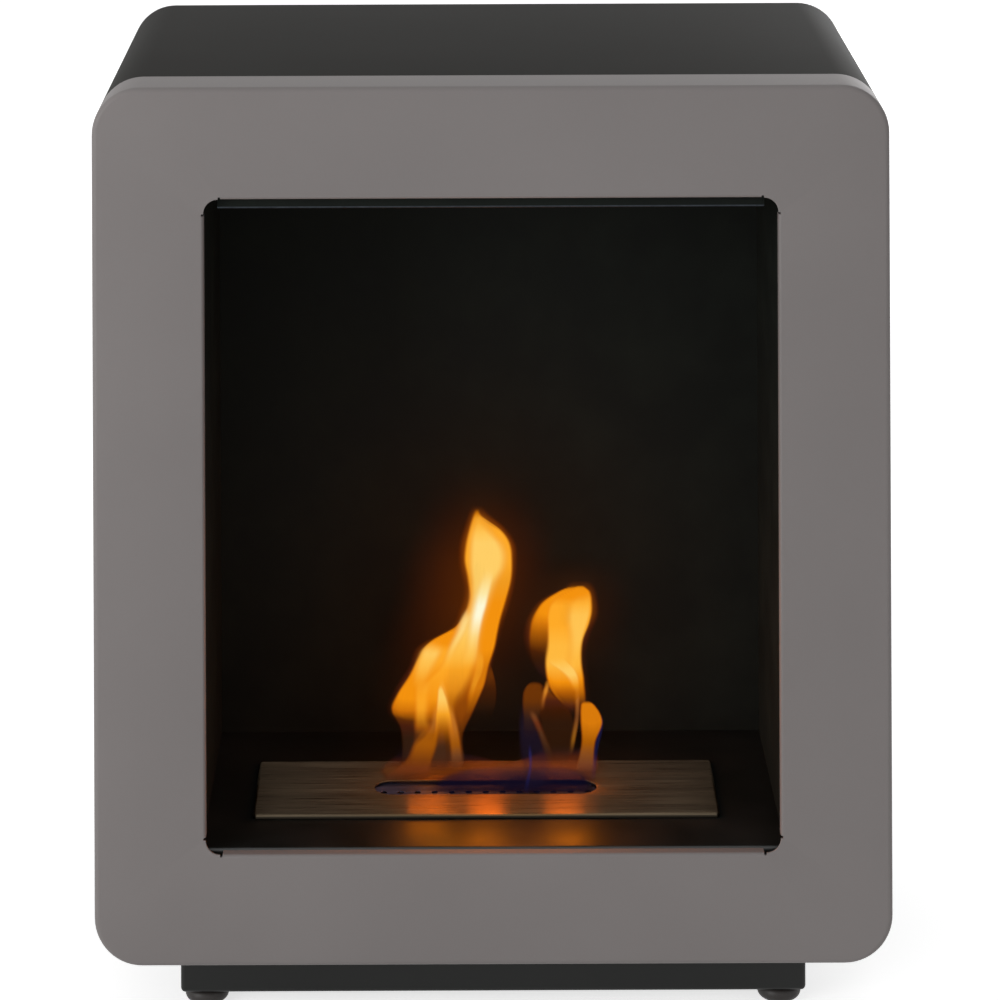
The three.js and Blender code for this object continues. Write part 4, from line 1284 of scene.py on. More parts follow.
def hex_nut(extent: Extent, plane: Plane, across: float, bore: float) -> bmesh.types.BMesh:
    """A six-sided nut with rounded-off corners and a bore.

    Args:
        extent: the box of the nut.
        plane: the plane that its hexagon lies in.
        across: size across the flats.
        bore: radius of the bore.

    Returns:
        The mesh.
    """
    first, second, along = plane.value
    at = extent.centre(first, second)
    low, high = extent.low[along], extent.high[along]
    facing = circle(at, across / 2 - 0.1)
    rings = [
        (circle(at, bore), low), (facing, low), (hexagon(across, at), low + 0.5),
        (hexagon(across, at), high - 0.5), (facing, high), (circle(at, bore), high),
    ]
    return loft([plane.ring(points, depth) for points, depth in rings], Ends.JOINED)


# ------------------------------------------------------------------ burner

@dataclass
class BurnerInsert:
    """The lift-out burner: brushed plate with a slot, fuel tray, perforated strip and fibre block."""

    sheet: float = 1.5
    bend: float = 0.6
    cut_edge: float = 0.4
    plate_radius: float = 3.0
    slot: Point = (145.0, 23.5)
    tray_sheet: float = 1.2
    tray_radius: float = 6.0
    tray_floor_radius: float = 3.0
    grid_sheet: float = 1.0
    grid_hole_radius: float = 2.1
    grid_hole_pitch: float = 11.1
    grid_holes: int = 13
    wool_radius: float = 4.5
    wool_lead: float = 12.0
    wool_lump: float = 9.0
    wool_relief: float = 0.25
    steps: int = 10

    def build(self) -> list[bpy.types.Object]:
        """Makes the four pieces of the insert."""
        return [
            make_piece("brushed_plate", self.plate(), PLATE_STEEL, ["burner_plate"], BURNER, 50),
            make_piece("fuel_tray", self.tray(), TRAY_STEEL, ["burner_tray"], BURNER, 50),
            make_piece(
                "perforated_strip", self.grid(), STRIP_STEEL, ["burner_grid"], BURNER,
                bevel=0.12),
            make_piece("fibre_block", self.wool(), WOOL, ["wool_pad"], BURNER, 60),
        ]

    def plate(self) -> bmesh.types.BMesh:
        """The plate: rings from the slot's edge out to the lip and back underneath."""
        extent = Extent.of("burner_plate")
        centre = extent.centre(0, 1)
        outline = RoundedRectangle(extent.size(0), extent.size(1), self.plate_radius, centre, self.steps)
        opening = RoundedRectangle(*self.slot, self.slot[1] / 2, centre, self.steps)
        top, low, cut = extent.high[2], extent.low[2], self.cut_edge
        outer = self.bend + self.sheet
        turns = [math.radians(90 * i / 5) for i in range(6)]
        rings = [Plane.TOP.ring(opening.points(-s), z) for s, z in (
            (cut, top - self.sheet), (0.0, top - self.sheet + cut), (0.0, top - 2 * cut),
            (cut * 0.3, top - cut * 0.6), (2 * cut, top))]
        section = [(outer - outer * math.sin(t), top - outer + outer * math.cos(t)) for t in turns]
        section += [(0.0, low + cut), (cut, low), (self.sheet - cut, low), (self.sheet, low + cut)]
        section += [
            (outer - self.bend * math.sin(t), top - outer + self.bend * math.cos(t)) for t in reversed(turns)]
        rings += [Plane.TOP.ring(outline.points(inset, 0.5), z) for inset, z in section]
        return loft(rings, Ends.JOINED)

    def tray(self) -> bmesh.types.BMesh:
        """The deep-drawn tray, open at the top."""
        extent = Extent.of("burner_tray")
        outline = RoundedRectangle(
            extent.size(0), extent.size(1), self.tray_radius, extent.centre(0, 1), self.steps)
        low, high, wall = extent.low[2], extent.high[2], self.tray_sheet
        radius = self.tray_floor_radius
        turns = [math.radians(90 * i / 5) for i in range(6)]
        outside = [(radius - radius * math.cos(t), low + radius - radius * math.sin(t)) for t in turns]
        inner = radius - wall
        inside = [(radius - inner * math.cos(t), low + radius - inner * math.sin(t)) for t in reversed(turns)]
        section = [
            *outside[::-1], (0.0, high - 0.2), (0.2, high), (wall - 0.2, high), (wall, high - 0.2),
            *inside[::-1]]
        return loft([Plane.TOP.ring(outline.points(inset, 1.0), z) for inset, z in section])

    def grid(self) -> bmesh.types.BMesh:
        """The perforated channel under the slot."""
        extent = Extent.of("burner_grid")
        front, back, low, high = extent.low[1], extent.high[1], extent.low[2], extent.high[2]
        path = [(front, low), (front, high), (back, high), (back, low)]
        section = folded_section(path, -self.grid_sheet, self.bend)
        holes = []
        for i in range(self.grid_holes):
            x = extent.middle(0) + (i - (self.grid_holes - 1) / 2) * self.grid_hole_pitch
            start, end = high - 2 * self.grid_sheet, high + OVERRUN
            holes.append(rod(self.grid_hole_radius, Plane.TOP, start, end, (x, extent.middle(1))))
        return carved(prism(section, Plane.SIDE, extent.low[0], extent.high[0]), *holes)

    def wool(self) -> bmesh.types.BMesh:
        """The fibre block with a lumpy top and soft edges."""
        extent = Extent.of("wool_pad")
        outline = RoundedRectangle(
            extent.size(0), extent.size(1), self.wool_radius, extent.centre(0, 1), self.steps,
            self.wool_lead)
        low, high = extent.low[2], extent.high[2]
        levels = [low + 1 + (high - low - 2) * i / 8 for i in range(9)]
        section = [
            (1.0, low), *((0.3, z) for z in levels), (1.5, high - 0.3),
            *((inset, high - 0.3) for inset in range(4, 28, 3))]
        mesh = loft([Plane.TOP.ring(outline.points(inset, 0.5), z) for inset, z in section])
        for vert in mesh.verts:
            lump = noise.noise(vert.co * per_metre(self.wool_lump)) * self.wool_relief * MM
            if vert.co.z > (low + 0.5) * MM:
                vert.co.z = min(vert.co.z + lump, high * MM)
        return mesh


# ------------------------------------------------------------------ flames

class Glow(Enum):
    """The tones of a flame, from the hottest soot through embers to the blue of its root."""

    WHITE_HOT = "fffad8"
    CREAM = "ffeeae"
    STRAW = "ffdf8c"
    YELLOW = "ffce66"
    MAIZE = "ffc656"
    GOLD = "ffb83e"
    AMBER = "ffaa28"
    HONEY = "f09a20"
    ORANGE = "f4920f"
    TAWNY = "e08c2a"
    TANGERINE = "d87a0c"
    COPPER = "cc7a2a"
    BURNT_ORANGE = "c86c0a"
    FOX = "b26008"
    OCHRE = "a06418"
    RUST = "a85206"
    SIENNA = "8a5028"
    RUSSET = "8a4208"
    BRICK = "803a1c"
    CHESTNUT = "743808"
    REDWOOD = "6a2c14"
    UMBER = "643a20"
    MAHOGANY = "5a2614"
    CINDER = "522406"
    EMBER = "441d06"
    COCOA = "442818"
    PEAT = "361c0c"
    SOOT = "1e0d04"
    PLUM = "3a2430"
    DUSK = "20182c"
    NIGHT = "0c0a20"
    NAVY = "1a1c4a"
    BLUE = "2c2c70"


Level = tuple[float, float, float, Glow, float]
HEIGHT, LEFT, RIGHT, TONE, COVER = range(5)


@dataclass(frozen=True)
class Veil:
    """One veil of burning vapour.

    Each level gives a height above the plate, the left and the right edge from the slot's centre,
    a colour, and how far the veil hides what is behind it. The edges fade over the soft widths.
    """

    levels: tuple[Level, ...]
    soft_left: float = 2.0
    soft_right: float = 2.0

    def along(self, column: int, z: np.ndarray) -> np.ndarray:
        """One number of the levels, drawn as a smooth curve over the height.

        Args:
            column: which number of a level.
            z: heights above the plate.

        Returns:
            The number at each height.
        """
        heights = np.array([level[HEIGHT] for level in self.levels[::-1]])
        values = np.array([level[column] for level in self.levels[::-1]])
        slopes = np.gradient(values, heights)
        at = np.clip(np.searchsorted(heights, z) - 1, 0, len(heights) - 2)
        gap = heights[at + 1] - heights[at]
        t = np.clip((z - heights[at]) / gap, 0.0, 1.0)
        start = (1 + 2 * t) * (1 - t) ** 2 * values[at] + t * (1 - t) ** 2 * gap * slopes[at]
        return start + t * t * (3 - 2 * t) * values[at + 1] - t * t * (1 - t) * gap * slopes[at + 1]

    def paint(self, x: np.ndarray, z: np.ndarray) -> tuple[np.ndarray, np.ndarray]:
        """What the veil looks like at each place.

        Args:
            x: places across, from the slot's centre.
            z: heights above the plate.

        Returns:
            Linear colours and opacities.
        """
        left, right = self.along(LEFT, z), self.along(RIGHT, z)
        fade_left = smooth_step((x - left) / self.soft_left + 0.5)
        fade_right = smooth_step((right - x) / self.soft_right + 0.5)
        rise = fade_left * fade_right
        inside = (z <= self.levels[0][HEIGHT]) & (z >= self.levels[-1][HEIGHT])
        hides = np.clip(self.along(COVER, z), 0.0, 1.0) * rise * inside
        heights = [level[HEIGHT] for level in self.levels[::-1]]
        tones = np.array([colour(level[TONE].value)[:3] for level in self.levels[::-1]])
        tone = np.stack([np.interp(z, heights, tones[:, i]) for i in range(3)], axis=1)
        rim = np.stack([0.85 + 0.15 * rise, 0.55 + 0.45 * rise, 0.3 + 0.7 * rise], axis=1)
        return tone * rim, hides


def smooth_step(t: np.ndarray) -> np.ndarray:
    """Rises softly from 0 to 1 as t does."""
    t = np.clip(t, 0.0, 1.0)
    return t * t * (3 - 2 * t)


# The levels below were first typed as places in the photograph, in its pixels, with a colour each.
# Another program then turned them into millimetres, thinned them and chose the nearest tones.
LEFT_FLAME = (
    Veil((
        (27, -57, -53.5, Glow.DUSK, 0), (20, -58.5, -10, Glow.DUSK, 0.15),
        (15, -64, 9.5, Glow.REDWOOD, 0.3), (10, -67.5, 29, Glow.CHESTNUT, 0.4),
        (6.5, -66.5, 38.5, Glow.EMBER, 0.35), (2, -56, 48.5, Glow.PEAT, 0.2),
        (-3, -49.5, 48.5, Glow.NIGHT, 0),
    ), 6, 8),
    Veil((
        (13, -5, 48.5, Glow.DUSK, 0), (9, -18, 60.5, Glow.DUSK, 0.55), (5, -28.5, 67, Glow.NIGHT, 0.8),
        (-1, -35, 67, Glow.NIGHT, 0.7), (-6.5, -36.5, 66.5, Glow.NIGHT, 0),
    ), 14, 10),
    Veil((
        (184, -7, -2.5, Glow.CHESTNUT, 0), (178.5, -9, 1, Glow.RUSSET, 0.4),
        (169, -12, 11.5, Glow.RUSSET, 0.6), (158, -15, 18.5, Glow.RUSSET, 0.65),
        (144.5, -15.5, 19.5, Glow.RUSSET, 0.6), (128.5, -12.5, 17.5, Glow.RUSSET, 0.55),
        (115.5, -15.5, 13.5, Glow.RUSSET, 0.55), (103.5, -23, 9.5, Glow.CHESTNUT, 0.5),
        (94.5, -40.5, 7, Glow.CHESTNUT, 0.5), (79.5, -48.5, 3, Glow.REDWOOD, 0.5),
        (63, -58.5, -1.5, Glow.MAHOGANY, 0.45), (49, -63, -7, Glow.EMBER, 0.35),
        (37, -56, -14, Glow.PEAT, 0.1), (30.5, -54.5, -15.5, Glow.PEAT, 0),
    ), 5, 5),
    Veil((
        (181.5, -5.5, -4, Glow.TANGERINE, 0), (178.5, -6.5, -3.5, Glow.ORANGE, 0.6),
        (175.5, -7.5, -1.5, Glow.HONEY, 0.9), (166.5, -10, 10.5, Glow.AMBER, 1),
        (160.5, -11.5, 15, Glow.AMBER, 1), (154.5, -12.5, 17, Glow.AMBER, 1),
        (148, -13, 17.5, Glow.AMBER, 1), (135, -11, 17, Glow.HONEY, 1),
        (122, -10, 13.5, Glow.ORANGE, 1), (109, -15.5, 9.5, Glow.ORANGE, 1),
        (102.5, -21, 8, Glow.ORANGE, 1), (92.5, -27, 6, Glow.ORANGE, 1),
        (79.5, -33.5, 2, Glow.TANGERINE, 0.98), (66.5, -40, -1, Glow.TANGERINE, 0.95),
        (56.5, -44.5, -5, Glow.FOX, 0.9), (47, -46.5, -9, Glow.RUSSET, 0.8),
        (33, -46.5, -15, Glow.CHESTNUT, 0.55), (16, -49.5, -14, Glow.UMBER, 0.3),
        (9.5, -53.5, -14, Glow.MAHOGANY, 0.12), (4.5, -54.5, -14, Glow.MAHOGANY, 0),
    ), 2.6, 2.2),
    Veil((
        (106, -17.5, -15.5, Glow.TANGERINE, 0), (103.5, -21.5, -15, Glow.ORANGE, 0.8),
        (96.5, -34.5, -17.5, Glow.ORANGE, 1), (92, -39.5, -19.5, Glow.AMBER, 1),
        (86, -43, -21.5, Glow.AMBER, 1), (73, -49.5, -25, Glow.ORANGE, 1),
        (60, -57.5, -27, Glow.ORANGE, 1), (50.5, -61, -29, Glow.BURNT_ORANGE, 0.97),
        (47.5, -60.5, -29.5, Glow.FOX, 0.85), (44, -58.5, -31, Glow.CHESTNUT, 0.65),
        (39, -56, -32.5, Glow.MAHOGANY, 0.55), (30.5, -54.5, -35, Glow.COCOA, 0.5),
        (20, -54.5, -37.5, Glow.COCOA, 0.4), (12, -56, -40.5, Glow.PEAT, 0),
    ), 2.2, 7),
    Veil((
        (82.5, -9, -6.5, Glow.RUST, 0), (77.5, -10.5, -7, Glow.FOX, 0.5),
        (71, -13.5, -7.5, Glow.RUST, 0.8), (58, -20, -11, Glow.RUSSET, 0.9),
        (51.5, -19.5, -12.5, Glow.RUSSET, 0.8), (43.5, -18, -14, Glow.RUSSET, 0.5),
        (35.5, -16.5, -14.5, Glow.CHESTNUT, 0),
    ), 4, 3),
    Veil((
        (92, -6, -2, Glow.GOLD, 0), (85.5, -6, -1, Glow.AMBER, 0.6), (77.5, -7.5, -2, Glow.HONEY, 0.7),
        (69.5, -9.5, -5.5, Glow.HONEY, 0.75), (62, -11.5, -7.5, Glow.TANGERINE, 0.6),
        (54, -12.5, -9, Glow.RUST, 0),
    ), 3, 2.5),
    Veil((
        (178, -5.5, -3.5, Glow.GOLD, 0), (173.5, -6.5, -0.5, Glow.GOLD, 0.6),
        (167.5, -8, 4, Glow.MAIZE, 0.9), (160.5, -9, 10, Glow.YELLOW, 1),
        (152.5, -9.5, 13, Glow.YELLOW, 1), (146, -9.5, 12.5, Glow.YELLOW, 1),
        (133.5, -8.5, 6, Glow.YELLOW, 1), (120, -9.5, 1, Glow.YELLOW, 1),
        (105.5, -15.5, -3.5, Glow.YELLOW, 1), (99, -20.5, -4.5, Glow.MAIZE, 1),
        (86, -26.5, -5.5, Glow.GOLD, 0.9), (79.5, -31, -7.5, Glow.AMBER, 0.8),
        (73, -37.5, -10, Glow.AMBER, 0.6), (64.5, -42, -14, Glow.AMBER, 0.35),
        (50, -44.5, -23, Glow.ORANGE, 0),
    ), 6, 9),
    Veil((
        (96, -34.5, -27.5, Glow.MAIZE, 0), (90.5, -40.5, -29.5, Glow.YELLOW, 0.8),
        (85.5, -43, -32, Glow.MAIZE, 0.85), (73.5, -46.5, -37.5, Glow.GOLD, 0.4),
        (67, -48, -38.5, Glow.AMBER, 0),
    ), 5, 7),
    Veil((
        (72.5, -44.5, -35.5, Glow.GOLD, 0), (63, -45.5, -37, Glow.AMBER, 0.6),
        (54, -45.5, -37.5, Glow.AMBER, 0.8), (46, -45.5, -38, Glow.HONEY, 0.6),
        (39.5, -46, -36, Glow.BURNT_ORANGE, 0.5), (33, -45.5, -35, Glow.OCHRE, 0),
    ), 4, 6),
    Veil((
        (56.5, -33.5, -31.5, Glow.HONEY, 0), (50, -34, -31, Glow.TAWNY, 0.55),
        (42, -35.5, -30.5, Glow.COPPER, 0.6), (35.5, -39, -31, Glow.FOX, 0.7),
        (29, -45, -31.5, Glow.FOX, 0.8), (16, -52.5, -35.5, Glow.RUSSET, 0.6),
        (11, -58.5, -36.5, Glow.BRICK, 0.4), (6.5, -65, -37.5, Glow.REDWOOD, 0.25),
        (2.5, -67, -43, Glow.MAHOGANY, 0),
    ), 4, 3),
    Veil((
        (56.5, -25.5, -22.5, Glow.HONEY, 0), (50, -25.5, -21, Glow.TAWNY, 0.6),
        (42, -24.5, -19, Glow.COPPER, 0.75), (26.5, -23, -16.5, Glow.FOX, 0.7),
        (19.5, -22.5, -15.5, Glow.SIENNA, 0.55), (8.5, -23.5, -15, Glow.MAHOGANY, 0),
    ), 3, 2.5),
    Veil((
        (42, -29.5, -27, Glow.REDWOOD, 0), (35.5, -30.5, -27, Glow.MAHOGANY, 0.6),
        (28, -32, -26, Glow.COCOA, 0.85), (20, -34.5, -25, Glow.COCOA, 0.8),
        (8.5, -36.5, -23.5, Glow.MAHOGANY, 0),
    ), 3, 3),
    Veil((
        (70.5, -29.5, -28.5, Glow.GOLD, 0), (66.5, -30.5, -27.5, Glow.YELLOW, 0.9),
        (60.5, -31, -25.5, Glow.YELLOW, 1), (49.5, -32, -23, Glow.AMBER, 0.9),
        (38.5, -33, -21, Glow.TANGERINE, 0.5), (26.5, -35.5, -18.5, Glow.RUSSET, 0),
    ), 1.6, 2.2),
    Veil((
        (116.5, -12, -8, Glow.STRAW, 0), (111.5, -14.5, -10, Glow.STRAW, 0.7),
        (106, -17, -12.5, Glow.STRAW, 0.8), (92, -24.5, -20, Glow.YELLOW, 0.5),
        (84, -27.5, -23, Glow.MAIZE, 0),
    ), 4, 4),
    Veil((
        (143, -0.5, 6.5, Glow.STRAW, 0), (128, -5.5, 2.5, Glow.CREAM, 0.85),
        (120.5, -7, 0.5, Glow.WHITE_HOT, 1), (114, -8.5, -1.5, Glow.WHITE_HOT, 1),
        (101, -11, -4, Glow.STRAW, 0.7), (92.5, -12.5, -5, Glow.YELLOW, 0.45),
        (82.5, -16, -6.5, Glow.MAIZE, 0),
    ), 6, 2.6),
)

# Painted glow: two wide dim sheets of warm light round the flames, standing in for the glow that the flames
# spread round themselves and onto the firebox.
PAINTED_GLOW_HALO = (
    Veil((
        (216.5, -10.5, 5, Glow.SOOT, 0), (193.5, -14.5, 10, Glow.PEAT, 0.3),
        (167.5, -21.5, 19, Glow.EMBER, 0.7), (141.5, -29.5, 21.5, Glow.CINDER, 0.85),
        (115.5, -34.5, 19, Glow.CINDER, 0.85), (89, -44, 13.5, Glow.EMBER, 0.7),
        (56.5, -54.5, 8, Glow.PEAT, 0.4), (30.5, -57, 1.5, Glow.SOOT, 0.2),
        (7.5, -58.5, 1.5, Glow.SOOT, 0),
    ), 60, 60),
    Veil((
        (148, 49, 68.5, Glow.SOOT, 0), (131.5, 39, 75, Glow.PEAT, 0.5),
        (115.5, 29.5, 76.5, Glow.PEAT, 0.75), (96, 29.5, 73.5, Glow.PEAT, 0.7),
        (69.5, 29, 73.5, Glow.SOOT, 0.5), (43.5, 29, 78, Glow.SOOT, 0.3), (17.5, 29, 78, Glow.SOOT, 0),
    ), 52, 52),
)

FAINT_LOBE = (
    Veil((
        (80, 1, 3, Glow.RUSSET, 0), (75, 0.5, 4.5, Glow.CHESTNUT, 0.65),
        (62, -2, 7, Glow.CINDER, 0.55), (49, -6, 6, Glow.PEAT, 0.35), (42, -7.5, 3.5, Glow.SOOT, 0),
    ), 6, 1.2),
)

RIGHT_FLAME = (
    Veil((
        (24, 39.5, 63, Glow.DUSK, 0), (17.5, 29, 72, Glow.REDWOOD, 0.45),
        (12, 9.5, 72.5, Glow.BRICK, 0.55), (7.5, -3.5, 72, Glow.MAHOGANY, 0.4),
        (3.5, -0.5, 69.5, Glow.DUSK, 0.2), (-1, 9.5, 67, Glow.NIGHT, 0.12),
        (-6, 16, 66.5, Glow.DUSK, 0),
    ), 8, 6),
    Veil((
        (133, 57.5, 67.5, Glow.CHESTNUT, 0), (129, 53, 70, Glow.CHESTNUT, 0.4),
        (122, 39, 72, Glow.CHESTNUT, 0.6), (112, 30, 72.5, Glow.CHESTNUT, 0.6),
        (99, 26.5, 67, Glow.REDWOOD, 0.5), (86, 29, 64.5, Glow.CINDER, 0.35),
        (69.5, 39.5, 66.5, Glow.EMBER, 0.3), (56.5, 46, 67.5, Glow.PEAT, 0.2),
        (49, 52, 67.5, Glow.PEAT, 0),
    ), 5, 5),
    Veil((
        (129.5, 57, 64.5, Glow.ORANGE, 0), (127.5, 51.5, 64.5, Glow.ORANGE, 0.8),
        (124.5, 45.5, 63.5, Glow.ORANGE, 0.95), (120, 38.5, 62, Glow.ORANGE, 1),
        (114.5, 34, 58.5, Glow.ORANGE, 1), (109, 31, 52, Glow.TANGERINE, 1),
        (102.5, 29.5, 49, Glow.FOX, 0.93), (89, 29.5, 43.5, Glow.CINDER, 0.62),
        (82.5, 31, 42.5, Glow.PEAT, 0.4), (67, 37.5, 41.5, Glow.DUSK, 0),
    ), 2.2, 6),
    Veil((
        (130, 61.5, 64, Glow.ORANGE, 0), (128.5, 58.5, 65.5, Glow.ORANGE, 0.8),
        (127, 55, 67.5, Glow.ORANGE, 0.95), (124, 48.5, 69, Glow.ORANGE, 1),
        (119.5, 43, 69.5, Glow.AMBER, 1), (114, 41, 69.5, Glow.AMBER, 1),
        (107.5, 41, 68, Glow.AMBER, 1), (94.5, 41, 63, Glow.GOLD, 1), (82, 39.5, 62.5, Glow.GOLD, 1),
        (70.5, 40.5, 64, Glow.ORANGE, 1), (64.5, 42, 64.5, Glow.TANGERINE, 0.95),
        (59, 45, 65, Glow.FOX, 0.88), (49.5, 52, 65, Glow.MAHOGANY, 0.35),
        (43.5, 54, 63.5, Glow.PEAT, 0),
    ), 2.4, 2.2),
    Veil((
        (126, 59.5, 68.5, Glow.GOLD, 0), (120.5, 55.5, 68.5, Glow.GOLD, 0.6),
        (114, 54, 68, Glow.MAIZE, 0.8), (98.5, 55.5, 63.5, Glow.MAIZE, 0.85),
        (82.5, 54, 62, Glow.GOLD, 0.6), (75, 52.5, 62.5, Glow.GOLD, 0),
    ), 8, 3),
    Veil((
        (68.5, 46, 59, Glow.BURNT_ORANGE, 0), (63, 46, 58.5, Glow.RUST, 0.55),
        (58, 48.5, 58, Glow.CHESTNUT, 0.7), (52.5, 51.5, 58, Glow.MAHOGANY, 0.6),
        (46, 52.5, 58, Glow.PEAT, 0),
    ), 4, 3),
    Veil((
        (88, 41.5, 50, Glow.GOLD, 0), (83.5, 41.5, 54, Glow.MAIZE, 0.6),
        (79.5, 47.5, 57.5, Glow.YELLOW, 0.85), (75.5, 52, 59.5, Glow.YELLOW, 0.95),
        (67.5, 56.5, 61, Glow.AMBER, 0.5), (63, 58, 61, Glow.TAWNY, 0),
    ), 4, 2),
)

HOLLOW_LOOP = (
    Veil((
        (65.5, 40.5, 42, Glow.COPPER, 0), (62, 38, 43.5, Glow.RUSSET, 0.6),
        (56.5, 36.5, 48.5, Glow.MAHOGANY, 0.7), (50, 35.5, 54.5, Glow.EMBER, 0.7),
        (42, 36, 57.5, Glow.PEAT, 0.68), (28, 39, 56, Glow.PEAT, 0.6), (13.5, 46, 52.5, Glow.COCOA, 0),
    ), 3, 3),
    Veil((
        (71, 39.5, 42, Glow.HONEY, 0), (67, 39, 41.5, Glow.TAWNY, 0.7),
        (63, 37.5, 40.5, Glow.TAWNY, 0.85), (58.5, 36.5, 39, Glow.COPPER, 0.8),
        (49, 35.5, 38, Glow.MAHOGANY, 0),
    ), 2.4, 2.4),
    Veil((
        (69.5, 58, 61, Glow.TAWNY, 0), (62, 58.5, 61, Glow.COPPER, 0.5),
        (46, 58.5, 61, Glow.SIENNA, 0.65), (30.5, 56, 58.5, Glow.OCHRE, 0.7),
        (20, 54.5, 56.5, Glow.UMBER, 0),
    ), 2.2, 1.6),
)

SMALL_DOME = (
    Veil((
        (56.5, 23, 26.5, Glow.DUSK, 0), (39.5, 22, 33.5, Glow.DUSK, 0.5),
        (29, 22.5, 37.5, Glow.DUSK, 0.5), (21.5, 23, 40.5, Glow.DUSK, 0.4),
        (13.5, 25, 42, Glow.DUSK, 0.3), (4.5, 25, 39.5, Glow.DUSK, 0.3),
        (-3.5, 25, 35.5, Glow.NIGHT, 0),
    ), 4, 6),
    Veil((
        (71, 30.5, 33.5, Glow.CHESTNUT, 0), (69, 28, 36, Glow.CHESTNUT, 0.7),
        (65, 25.5, 37.5, Glow.CHESTNUT, 0.85), (58.5, 24.5, 37.5, Glow.CHESTNUT, 0.82),
        (45, 25, 35, Glow.COCOA, 0.45), (36.5, 25, 33.5, Glow.PEAT, 0.22),
        (27, 25.5, 33.5, Glow.DUSK, 0),
    ), 2.2, 4),
    Veil((
        (51.5, 28.5, 31, Glow.SIENNA, 0), (47.5, 29.5, 33, Glow.SIENNA, 0.5),
        (42, 32, 35.5, Glow.BRICK, 0.65), (35.5, 34.5, 38, Glow.UMBER, 0.65),
        (22.5, 38.5, 43.5, Glow.COCOA, 0.4), (15, 40.5, 46, Glow.COCOA, 0),
    ), 3, 3),
    Veil((
        (28, 28, 29.5, Glow.BLUE, 0), (22.5, 28, 30, Glow.BLUE, 0.35), (16, 28.5, 30, Glow.BLUE, 0.4),
        (2, 25.5, 28, Glow.NAVY, 0.25), (-3.5, 24.5, 27, Glow.NAVY, 0),
    ), 1, 1),
)

SMALL_TONGUE = (
    Veil((
        (45, 75, 77, Glow.NAVY, 0), (38.5, 74.5, 77, Glow.NAVY, 0.4), (22.5, 71, 73.5, Glow.NAVY, 0.5),
        (15, 70, 72.5, Glow.NAVY, 0.4), (2, 69, 71.5, Glow.NAVY, 0),
    ), 1.2, 1.2),
    Veil((
        (55, 64.5, 67.5, Glow.BURNT_ORANGE, 0), (53, 63, 70, Glow.TANGERINE, 0.9),
        (50, 62.5, 72.5, Glow.TANGERINE, 1), (42, 62.5, 76, Glow.TANGERINE, 1),
        (27, 63, 71.5, Glow.FOX, 0.85), (15.5, 60.5, 70.5, Glow.SIENNA, 0.6),
        (4.5, 56.5, 70.5, Glow.PLUM, 0),
    ), 2, 1.6),
)


@dataclass(frozen=True)
class LiveFlame:
    """Burning alcohol vapour: bright yellow where soot glows, blue and clear at its root.

    It gives the eye a soft light without a surface: no gloss, edges that fade out, and what lies
    behind showing through where the flame is thin.
    """

    name: str = "alcohol_flame"
    attribute: str = "glow"
    wisp_width: float = 5.0
    wisp_height: float = 45.0

    def build(self) -> bpy.types.Material:
        """Makes the material: painted light and opacity, thinned by faint upright wisps."""
        material, tree, place = new_material(self.name)
        glow = add_node(tree, "ShaderNodeAttribute", {"attribute_name": self.attribute})
        stretch = add_node(tree, "ShaderNodeMapping", links={
            "Vector": place, "Scale": tuple(per_metre(size) for size in (
                self.wisp_width, self.wisp_width, self.wisp_height))})
        wisps = add_node(
            tree, "ShaderNodeTexNoise", links={"Vector": stretch.outputs[0], "Scale": 1.0, "Detail": 2.0})
        thin = add_node(
            tree, "ShaderNodeMapRange", links={0: wisps.outputs[0], 1: 0.3, 2: 0.6, 3: 0.9, 4: 1.0})
        hides = add_node(
            tree, "ShaderNodeMath", {"operation": "MULTIPLY"}, {0: thin.outputs[0], 1: glow.outputs["Alpha"]})
        rough = add_node(tree, "ShaderNodeMapRange", links={0: wisps.outputs[0], 3: 0.9, 4: 1.0})
        shader = add_node(tree, "ShaderNodeBsdfPrincipled", links={
            "Base Color": (0.0, 0.0, 0.0, 1.0), "Roughness": rough.outputs[0], "Specular IOR Level": 0.0,
            "Emission Color": glow.outputs["Color"], "Emission Strength": 1.0, "Alpha": hides.outputs[0]})
        close_material(tree, shader.outputs[0])
        return material


